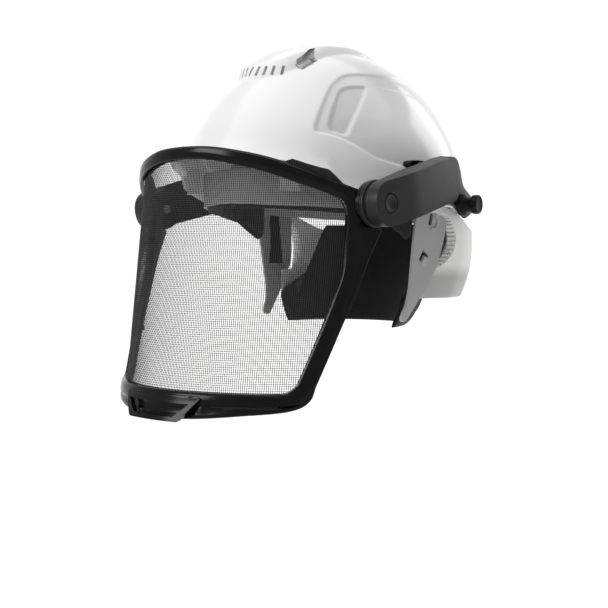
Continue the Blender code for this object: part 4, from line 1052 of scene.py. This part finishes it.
def arm_outline(inset):
    half = ARM_HALF_HEIGHT - inset
    corner = 11 * MM
    end = ARM_END - inset
    points = []
    for i in range(33):
        angle = lerp(96, 264, i / 32) * DEG
        cosine, sine = math.cos(angle), math.sin(angle)
        reach = (abs(cosine) ** 2.25 + abs(sine) ** 2.25) ** (-1 / 2.25)
        points.append(((half + 0.2 * MM) * reach * cosine, half * reach * sine))
    points += arc(end - corner, -half + corner, corner, 270, 358, 10)
    points += arc(end - corner, half - corner, corner, 2, 90, 10)
    return points


def arm_place(side, low, high):
    def place(length, height, layer):
        y = VISOR_PIVOT_Y + length * math.cos(ARM_SLOPE) - height * math.sin(ARM_SLOPE)
        z = length * math.sin(ARM_SLOPE) + height * math.cos(ARM_SLOPE)
        past = length - ARM_BEND
        soft = 9 * MM
        behind = max(past, 0) if abs(past) > soft else (past + soft) ** 2 / (4 * soft)
        inner = ARM_INNER_X - ARM_INNER_TAPER * max(past, 0)
        outer = ARM_OUTER_X - ARM_OUTER_TAPER * behind
        share = lerp(low, high, (layer + 1) / 2)
        draft = ARM_TOP_DRAFT * smooth(-12 * MM, 30 * MM, length) * max(height / ARM_HALF_HEIGHT, 0)
        return Vector((side * lerp(inner, outer, share), y, z + draft * (1 - share)))
    return place


def pin_bore(end):
    profile = [(0, end), (PIN_BORE, end), (PIN_BORE, INSIDE_X), (0, INSIDE_X)]
    return turned_mesh("pin_bore", profile, 32)


def make_arm(side, materials):
    name = side_name(side)
    folds = [ARM_BEND + step * 1.5 * MM for step in range(-6, 7)]
    place = arm_place(side, ARM_PLATE_SHARE + 0.03, 1)
    mesh = shaped_plate(name + "_arm_shell", arm_outline(0), place, folds=folds)
    arm = piece(name + "_arm_shell", mesh, materials["charcoal"], name + "_arm",
                [name + "_arm_cover"])
    add_bevel(arm, 2.4 * MM, 5, 50)
    settle(arm)
    plate_mesh = shaped_plate(name + "_arm_back", arm_outline(0.8 * MM), arm_place(side, 0, ARM_PLATE_SHARE),
                              folds=(ARM_BEND,))
    back = piece(name + "_arm_back", plate_mesh, materials["matt"], name + "_arm",
                 [name + "_arm_inner_plate"])
    add_bevel(back, 0.5 * MM, 2, 50)
    settle(back)
    wide = BUTTON_RADIUS + 0.5 * MM
    narrow = SPIGOT_RADIUS + 0.5 * MM
    outer = ARM_OUTER_X + 1 * MM
    bore = turned_mesh("button_bore", [
        (0, outer), (wide + 1.6 * MM, outer), (wide + 0.6 * MM, ARM_OUTER_X), (wide, ARM_OUTER_X - 0.6 * MM),
        (wide, BUTTON_BORE_X), (narrow, BUTTON_BORE_X), (narrow, INSIDE_X), (0, INSIDE_X)], 72)
    pin = pin_bore(ARM_PIN_BORE_END_X)
    for thing in (arm, back):
        cut(thing, bore, [outwards(side, VISOR_PIVOT_Y, 0)])
        cut(thing, pin, [outwards(side, ARM_PIVOT_Y, ARM_PIVOT_Z)])
        crisp(thing.data, 32)


def make_button(side, materials):
    low, high = BUTTON_X
    profile = [(0, high - 1.0 * MM), (3.4 * MM, high - 0.9 * MM), (4.6 * MM, high - 0.35 * MM),
               (5.2 * MM, high), (6.1 * MM, high), (6.6 * MM, high - 0.2 * MM),
               (BUTTON_RADIUS, high - 0.8 * MM), (BUTTON_RADIUS, low), (0, low)]
    name = side_name(side)
    mesh = moved(turned_mesh(name + "_button_cap", profile, 72), outwards(side, VISOR_PIVOT_Y, 0))
    piece(name + "_button_cap", mesh, materials["charcoal"], name + "_button",
          [name + "_release_button"])


# ---------------------------------------------------------------- carrier and knobs


def rounded_plan(half_width, half_length, squareness, angle, inset=0.0):
    cosine = math.cos(angle * DEG)
    sine = math.sin(angle * DEG)
    x = (half_width - inset) * math.copysign(abs(cosine) ** (2 / squareness), cosine)
    y = SHELL_CENTRE_Y + (half_length - inset) * math.copysign(abs(sine) ** (2 / squareness), sine)
    return x, y


def make_carrier(materials):
    def place(across, up, depth):
        reach = 2 * across - 1
        angle = 90 - 90 * math.copysign(abs(reach) ** 0.85, reach) * 1.02
        plan = (CARRIER_HALF_WIDTH, CARRIER_HALF_LENGTH, CARRIER_SQUARENESS, angle)
        x, y = rounded_plan(*plan, depth)
        shape_y = rounded_plan(*plan)[1] / MM
        height = lerp(along(CARRIER_BOTTOM, shape_y), along(CARRIER_TOP, shape_y), up)
        return Vector((x, y, height * MM))
    mesh = shell_between("carrier_band_shell", 260, 2, place, CARRIER_WALL)
    band = piece("carrier_band_shell", mesh, materials["charcoal"], "helmet", ["carrier_band"])
    add_bevel(band, 0.9 * MM, 3, 50)
    settle(band)
    cut(band, pin_bore(120 * MM), [outwards(side, ARM_PIVOT_Y, ARM_PIVOT_Z) for side in (1, -1)])
    stud = turned_mesh("stud_bore", in_metres([(0, 4), (2.7, 4), (2.7, -6), (0, -6)]), 24)
    cut(band, stud, [knob_frame(side) for side in (1, -1)])
    crisp(band.data, 32)


def knob_frame(side):
    """Frame at the knob's foot on the carrier, with Z pointing out of it."""
    share = ((KNOB_Y - SHELL_CENTRE_Y) / CARRIER_HALF_LENGTH) ** CARRIER_SQUARENESS
    x = CARRIER_HALF_WIDTH * (1 - share) ** (1 / CARRIER_SQUARENESS)
    out = Vector((side * math.cos(KNOB_TURN), math.sin(KNOB_TURN), 0))
    return Matrix.Translation((side * x, KNOB_Y, KNOB_Z)) @ out.to_track_quat("Z", "Y").to_matrix().to_4x4()


def make_clamp_knob(side, materials):
    name = side_name(side)
    profile = [(0, 16.6), (5.4, 16.7), (6.2, 17.0), (6.9, 16.8), (7.5, 16.2), (7.6, 15.4), (7.6, 12.4),
               (7.3, 11.9), (6.0, 11.2), (5.6, 10.6), (5.6, 8.6), (5.9, 8.2), (5.9, 7.7), (5.6, 7.3),
               (6.4, 6.2), (8.2, 5.2), (8.5, 4.8), (8.8, 1.2), (8.6, 0.7), (2.7, 0.6), (2.7, 12.6),
               (0, 12.6)]
    mesh = turned_mesh(name + "_clamp_cap", in_metres(profile), 90, flutes=9, depth=0.7 * MM,
                       reach=(12.4 * MM, 16.3 * MM))
    knob = piece(name + "_clamp_cap", moved(mesh, knob_frame(side)), materials["matt"], name + "_knob",
                 [name + "_clamp_knob"])
    crisp(knob.data, 30)


# ---------------------------------------------------------------- suspension


def ellipse_point(half_width, half_length, heading, height, depth=0.0):
    x = (half_width - depth) * math.sin(heading * DEG)
    y = SHELL_CENTRE_Y - (half_length - depth) * math.cos(heading * DEG)
    return Vector((x, y, height * MM))


def make_headband(materials):
    def place(across, up, depth):
        heading = lerp(-180, 180, across)
        height = lerp(along(BAND_BOTTOM, abs(heading)), along(BAND_TOP, abs(heading)), up)
        return ellipse_point(BAND_HALF_WIDTH, BAND_HALF_LENGTH, heading, height, depth)
    mesh = shell_between("headband_ring", 220, 4, place, 2 * MM, closed=True)
    ring = piece("headband_ring", mesh, materials["inner"], "helmet", ["headband"])
    add_bevel(ring, 0.5 * MM, 2, 50)
    settle(ring)
    slot = box_mesh("slot", Vector((-1, -6, -1.4)) * MM, Vector((1, 6, 1.4)) * MM)
    places = []
    for heading in (118, 128, 138, 148, 158):
        for side in (1, -1):
            at = ellipse_point(BAND_HALF_WIDTH, BAND_HALF_LENGTH, side * heading, 2)
            places.append(Matrix.Translation(at) @ Matrix.Rotation(side * (heading - 90) * DEG, 4, "Z")
                          @ Matrix.Scale(3, 4, (1, 0, 0)))
    cut(ring, slot, places)
    crisp(ring.data, 32)


def puffed(thing, cap, pressure=3.0):
    """Blow the closed piece up as padded cloth, and keep each point within cap of its start."""
    scene = bpy.context.scene
    thing.data.shade_smooth()
    start = np.array([tuple(v.co) for v in thing.data.vertices])
    cloth = thing.modifiers.new("cloth", "CLOTH")
    cloth.settings.quality = 5
    cloth.settings.use_pressure = True
    cloth.settings.uniform_pressure_force = pressure
    cloth.settings.effector_weights.gravity = 0
    cloth.settings.tension_stiffness = 20
    cloth.point_cache.frame_start = 1
    cloth.point_cache.frame_end = 14
    for number in range(1, 15):
        scene.frame_set(number)
    graph = bpy.context.evaluated_depsgraph_get()
    end = np.array([tuple(v.co) for v in thing.evaluated_get(graph).data.vertices])
    thing.modifiers.clear()
    scene.frame_set(1)
    shift = end - start
    far = np.linalg.norm(shift, axis=1)
    shift *= np.minimum(1, cap / np.maximum(far, 1e-9))[:, None]
    thing.data.vertices.foreach_set("co", (start + shift).astype(np.float32).ravel())
    thing.data.update()


def add_smooth(thing, levels=1):
    subdivision = thing.modifiers.new("smooth", "SUBSURF")
    subdivision.levels = levels
    subdivision.render_levels = levels


def pad_grid(name, columns, rows, place, wall, pillow):
    """Closed pad whose two faces meet in a rounded edge: place(across, up, depth)."""
    across = np.linspace(0, 1, columns)
    up = np.linspace(0, 1, rows)
    def depth_at(u, v, face):
        edge = min(u, 1 - u) * columns / 3, min(v, 1 - v) * rows / 2
        swell = min(1, math.sqrt(max(min(edge), 0)) * pillow + 0.25)
        return wall / 2 + (-1 if face == 0 else 1) * wall / 2 * swell
    outer = [[place(u, v, depth_at(u, v, 0)) for v in up] for u in across]
    inner = [[place(u, v, depth_at(u, v, 1)) for v in reversed(up)] for u in across]
    points = np.array([a + b for a, b in zip(outer, inner)], float)
    return finish_closed(grid_mesh(name, points, closed_up=True, caps=True))


def make_sweatband(materials):
    def place(across, up, depth):
        heading = lerp(-97, 97, across)
        low = along(SWEAT_BOTTOM, abs(heading))
        high = along(SWEAT_TOP, abs(heading))
        channel = 0.35 * MM * (1 - smooth(0, 1.2, abs(heading % 18 - 9)))
        return ellipse_point(BAND_HALF_WIDTH - SWEAT_GAP, BAND_HALF_LENGTH - SWEAT_GAP, heading,
                             lerp(low, high, up), depth + (channel if depth < 1.5 * MM else -channel))
    mesh = pad_grid("sweatband_pad", 150, 12, place, 3 * MM, 0.9)
    pad = piece("sweatband_pad", mesh, materials["dotted"], "helmet", ["sweatband"])
    puffed(pad, 0.5 * MM, 1.0)
    add_smooth(pad)


def make_nape_pad(materials):
    def place(across, up, depth):
        z = lerp(-96, -12, up)
        half_width = along(PAD_WIDTHS, z) * MM
        first = lerp(8, 40, smooth(-75, -44, z))
        angle = lerp(first, 180 - first, 1 - across) * DEG
        x = (half_width - depth) * math.cos(angle)
        y = 10 * MM + (half_width - depth) * 1.25 * math.sin(angle)
        return Vector((x, y, z * MM))
    mesh = pad_grid("nape_pad_soft", 90, 26, place, 5 * MM, 0.8)
    pad = piece("nape_pad_soft", mesh, materials["padding"], "helmet", ["nape_pad"])
    puffed(pad, 1.2 * MM, 2.0)
    bm = bmesh.new()
    bm.from_mesh(pad.data)
    bm.normal_update()
    for vert in bm.verts:
        seam = abs((vert.co.z / MM + 96) % 21 - 10.5)
        vert.co -= vert.normal * 0.5 * MM * float(1 - smooth(0, 2.2, seam))
    bm.to_mesh(pad.data)
    bm.free()
    add_smooth(pad)


def make_crown_straps(materials):
    """Webbing straps over the head, with raised edges."""
    for name, half_span, height, lengthways in (("crown_strap_lengthways", 101 * MM, 95 * MM, True),
                                                ("crown_strap_crossways", 79 * MM, 98 * MM, False)):
        def place(across, up, depth):
            angle = lerp(*CROWN_STRAP_ARC, across) * DEG
            span = (half_span - depth) * math.cos(angle)
            width = (up - 0.5) * CROWN_STRAP_WIDTH
            z = (height - depth) * math.sin(angle)
            bow = 0.25 * MM * math.cos(math.pi * (up - 0.5) * 2)
            if lengthways:
                return Vector((width, SHELL_CENTRE_Y + span, z + bow))
            return Vector((span, SHELL_CENTRE_Y + width, z + bow))
        mesh = shell_between(name + "_webbing", 160, 9, place, 1.3 * MM)
        strap = piece(name + "_webbing", mesh, materials["webbing"], "helmet", [name])
        middle = [place(i / 200, 0.5, 0) for i in range(201)]
        length = sum((b - a).length for a, b in zip(middle, middle[1:]))


def make_side_strap(side, materials):
    outline = [(15, 8), (15, -9), (15, -22), (16, -43), (17, -65), (15, -78), (12.4, -82), (10.5, -87),
               (11.2, -89.8), (14, -90.5), (16.8, -90), (18.6, -88.3), (27, -78), (36, -66.6), (46, -52),
               (49, -47.5), (50.4, -43.5), (52.8, -32), (55.3, -19.4), (57, 0), (56, 8)]
    slot = [(31.4, -13.9), (35.4, -13.9), (36.2, -5), (32.4, -5)]
    notch = [(24.4, -41), (28.7, -33.7), (35.9, -38), (34.9, -40), (30.6, -37.8), (26.9, -43)]
    def strap_x(z, layer, out=0.0):
        return STRAP_X + STRAP_SLOPE * z - STRAP_WALL * (1 - layer) / 2 + out
    def place(y, z, layer):
        return Vector((side * strap_x(z, layer), y, z))
    name = side_name(side)
    mesh = shaped_plate(name + "_strap_plate", in_metres(outline), place,
                        holes=(in_metres(slot), in_metres(notch)))
    strap = piece(name + "_strap_plate", mesh, materials["strap"], "helmet",
                  [name + "_side_strap"])
    add_bevel(strap, 0.5 * MM, 3, 50)
    ring = arc(37.2 * MM, -12 * MM, 6.4 * MM, -115, 75, 20) + arc(37.2 * MM, -12 * MM, 4.2 * MM, 75, -115, 20)
    def place_ring(y, z, layer):
        return Vector((side * strap_x(z, 1, lerp(-0.4, 0.9, (layer + 1) / 2) * MM), y, z))
    boss_mesh = shaped_plate(name + "_strap_boss", ring, place_ring)
    boss = piece(name + "_strap_boss", boss_mesh, materials["strap"], "helmet")
    add_bevel(boss, 0.35 * MM, 2, 50)
    hook = [(28.6, -40.6), (30.8, -38.6), (34.4, -40.4), (35.6, -42.8), (34, -45.6), (30.6, -46.6), (28, -44)]
    hook_mesh = shaped_plate(name + "_strap_hook", in_metres(rounded_outline(hook, 1)), place_ring)
    hooked = piece(name + "_strap_hook", hook_mesh, materials["strap"], "helmet")
    add_bevel(hooked, 0.3 * MM, 2, 50)
    hanger = [(22, -46), (26, -32), (29, -3), (39, -3), (39, -17), (38, -46)]
    def place_behind(y, z, layer):
        return Vector((side * (strap_x(z, -1, -0.3 * MM) - (1 - layer) * 0.5 * MM), y, z))
    mesh = shaped_plate(name + "_strap_hanger", in_metres(hanger), place_behind)
    piece(name + "_strap_hanger", mesh, materials["matt"], "helmet")


def cradle_point(across, up, depth=0.0):
    reach = 2 * across - 1
    angle = 90 - 85.5 * math.copysign(abs(reach) ** 0.8, reach)
    plan = (CRADLE_HALF_WIDTH, CRADLE_HALF_LENGTH, CRADLE_SQUARENESS, angle)
    shape_y = rounded_plan(*plan)[1]
    z = lerp(CRADLE_BOTTOM_Z, along(CRADLE_TOP, shape_y / MM) * MM, up)
    rear = smooth(32 * MM, 78 * MM, shape_y)
    turn_in = CRADLE_TURN_IN * (1 - rear) * float(1 - smooth(-52 * MM, -20 * MM, z))
    tuck = CRADLE_TUCK * rear * max((CRADLE_TUCK_FROM_Z - z) / CRADLE_TUCK_HEIGHT, 0) ** 2
    x, y = rounded_plan(*plan, depth + tuck)
    return Vector((x - math.copysign(turn_in, x), y, z))


def make_cradle(materials):
    mesh = shell_between("nape_cradle_shell", 200, 26, cradle_point, CRADLE_WALL)
    cradle = piece("nape_cradle_shell", mesh, materials["cradle"], "helmet", ["nape_cradle"])
    add_bevel(cradle, 0.8 * MM, 3, 50)
    settle(cradle)
    opening = arc(*CRADLE_HOLE, CRADLE_HOLE_RADIUS, -90, 90, 40)
    opening += in_metres([(10, -4.5), (10, -51.5)])
    def place(y, z, layer):
        return Vector((layer * OUTSIDE_X, y, z))
    cut(cradle, shaped_plate("cradle_opening", opening, place))
    shaft = turned_mesh("shaft", in_metres([(0, 150), (3.6, 150), (3.6, 126), (0, 126)]), 32)
    cut(cradle, shaft, [along_rear()])
    crisp(cradle.data, 32)


def cradle_wall_x(y, z):
    """Outer surface of the cradle's side at a height and a place along it."""
    share = min(abs(y - SHELL_CENTRE_Y) / CRADLE_HALF_LENGTH, 1) ** CRADLE_SQUARENESS
    x = CRADLE_HALF_WIDTH * (1 - share) ** (1 / CRADLE_SQUARENESS)
    return x - CRADLE_TURN_IN * float((1 - smooth(32 * MM, 78 * MM, y)) * (1 - smooth(-52 * MM, -20 * MM, z)))


def make_cradle_ribs(side, materials):
    """Return of the side opening's edge into the cradle, with a comb of ribs on its face."""
    name = side_name(side)
    centre_y, centre_z = CRADLE_HOLE
    def place(across, up, depth):
        angle = lerp(*COMB_ARC, across) * DEG
        radius = CRADLE_HOLE_RADIUS + 0.1 * MM + depth
        y = centre_y + radius * math.cos(angle)
        z = centre_z + radius * math.sin(angle)
        reach = lerp(4.0, 8.5, smooth(50 * MM, 61 * MM, y)) * MM
        return Vector((side * (cradle_wall_x(y, z) + 0.2 * MM - reach * up), y, z))
    mesh = shell_between(name + "_cradle_return", 60, 4, place, 1.5 * MM)
    piece(name + "_cradle_return", mesh, materials["cradle"], "helmet")
    bm = bmesh.new()
    for number in range(COMB_RIBS):
        across = (number + 0.5) / COMB_RIBS
        foot, tip = place(across, 0.12, -0.6 * MM), place(across, 0.95, -0.6 * MM)
        angle = lerp(*COMB_ARC, across) * DEG
        half = Vector((abs(foot.x - tip.x) / 2, 1.1 * MM, 0.65 * MM))
        rib = box_mesh("rib", -half, half)
        rib.transform(Matrix.Translation((foot + tip) / 2) @ Matrix.Rotation(angle, 4, "X"))
        bm.from_mesh(rib)
    close_outwards(bm)
    comb = piece(name + "_cradle_comb", mesh_from(bm, name + "_cradle_comb"), materials["cradle"], "helmet")
    add_bevel(comb, 0.35 * MM, 2, 50)


def along_rear():
    """Frame on the ratchet's axis, with Z pointing to the rear."""
    return Matrix.Translation((0, 0, RATCHET_Z)) @ Matrix.Rotation(-math.pi / 2, 4, "X")


def make_ratchet(materials):
    low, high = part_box("ratchet_housing")
    outline = arc(20 * MM, 0, 8 * MM, -90, 90, 12) + arc(10 * MM, 3 * MM, 10 * MM, 60, 90, 4)
    outline += arc(-10 * MM, 3 * MM, 10 * MM, 90, 120, 4) + arc(-20 * MM, 0, 8 * MM, 90, 270, 12)
    outline += arc(-10 * MM, -3 * MM, 10 * MM, 240, 270, 4) + arc(10 * MM, -3 * MM, 10 * MM, 270, 300, 4)
    def place(x, z, layer):
        return Vector((x, lerp(low.y, high.y, (layer + 1) / 2), RATCHET_Z + z))
    mesh = shaped_plate("ratchet_case", outline, place)
    case = piece("ratchet_case", mesh, materials["inner"], "helmet", ["ratchet_housing"])
    add_bevel(case, 1.4 * MM, 4, 50)
    settle(case)
    well = turned_mesh("well", in_metres([(0, 140), (8, 140), (8, 126.4), (0, 126.4)]), 48)
    cut(case, well, [along_rear()])
    profile = [(0, 148.6), (6, 148.8), (11, 149.3), (13, 149.5), (14.6, 149.2), (17, 148.2), (18.4, 146.9),
               (19, 145.2), (19, 138.4), (18.5, 137.4), (17, 136.8), (3, 136.8), (3, 127), (0, 127)]
    knob = turned_mesh("ratchet_grip", in_metres(profile), 160, flutes=20, depth=1.3 * MM,
                       reach=(137.2 * MM, 148.3 * MM))
    piece("ratchet_grip", moved(knob, along_rear()), materials["matt"], "ratchet",
          ["ratchet_knob"])


def dress_cad_nodes(materials):
    """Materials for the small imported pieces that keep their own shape."""
    for name in ("arm_pin", "knob_stud", "hinge_screw", "button_spring"):
        for side in ("left_", "right_"):
            dress(side + name, materials["steel"])
    for number in range(1, 7):
        dress("mesh_rivet_%d" % number, materials["matt"])
    dress("ratchet_pinion", materials["inner"])
    for name in ("front_left", "front_right", "rear_left", "rear_right"):
        dress("suspension_clip_" + name, materials["inner"])


def dress(node, material):
    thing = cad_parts[node]
    thing.data.materials.clear()
    thing.data.materials.append(material)


# ---------------------------------------------------------------- camera, light and floor


def aim(thing, location, target):
    """Link a camera or light at a location, facing the target."""
    thing.location = location
    thing.rotation_mode = "QUATERNION"
    thing.rotation_quaternion = (Vector(target) - Vector(location)).to_track_quat("-Z", "Y")
    bpy.context.scene.collection.objects.link(thing)


def make_camera():
    data = bpy.data.cameras.new("camera")
    data.lens = LENS
    data.sensor_width = 36
    camera = bpy.data.objects.new("camera", data)
    aim(camera, CAMERA, TARGET)
    bpy.context.scene.camera = camera


def area_light(name, location, target, size, power):
    data = bpy.data.lights.new(name, "AREA")
    data.shape = "RECTANGLE"
    data.size, data.size_y = size
    data.energy = power
    light = bpy.data.objects.new(name, data)
    aim(light, location, target)


def make_stage():
    bpy.context.scene.view_settings.view_transform = "Standard"
    world = bpy.data.worlds.new("studio")
    world.use_nodes = True
    fill_in(world.node_tree.nodes["Background"], Color=(1, 1, 1, 1), Strength=0.42)
    bpy.context.scene.world = world
    floor_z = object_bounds()[0].z - FLOOR_DROP
    profile = [(-4.0, floor_z), (1.2, floor_z)]
    profile += [(1.2 + y, floor_z + 1 + z) for y, z in arc(0, 0, 1.0, -90, 0, 16)]
    profile += [(2.2, floor_z + 4)]
    points = np.array([[(x, y, z) for y, z in profile] for x in (-4.0, 4.0)], float)
    mesh = grid_mesh("floor", points)
    floor = bpy.data.objects.new("floor", mesh)
    floor.rotation_euler = (0, 0, 43 * DEG)
    bpy.context.scene.collection.objects.link(floor)
    mesh.shade_smooth()
    mesh.materials.append(plastic("floor_pale", grey(0.93), 0.9, grain=40, mottle=0.005))
    area_light("overhead", (0, 0, 2.0), (0, 0, 0), (3.0, 3.0), 30)
    area_light("key", (-0.6, -1.6, 0.6), (0, 0, 0), (0.8, 0.8), 15)
    area_light("rear", (0.2, 1.5, 0.6), (0, 0, 0), (1.0, 0.8), 5)
    area_light("backdrop", (-0.4, 0.4, 1.2), (-1.6, 1.7, 0.3), (2.0, 0.6), 14)


def build():
    make_camera()
    materials = make_materials()
    make_shell(materials)
    make_sliders(materials)
    make_frame(materials)
    make_wires(materials)
    make_retainer(materials)
    make_brow_seal(materials)
    make_carrier(materials)
    make_headband(materials)
    make_sweatband(materials)
    make_nape_pad(materials)
    make_crown_straps(materials)
    make_cradle(materials)
    make_ratchet(materials)
    for side in (1, -1):
        make_disc(side, materials)
        make_arm(side, materials)
        make_button(side, materials)
        make_clamp_knob(side, materials)
        make_side_strap(side, materials)
        make_cradle_ribs(side, materials)
    dress_cad_nodes(materials)
    make_stage()


build()
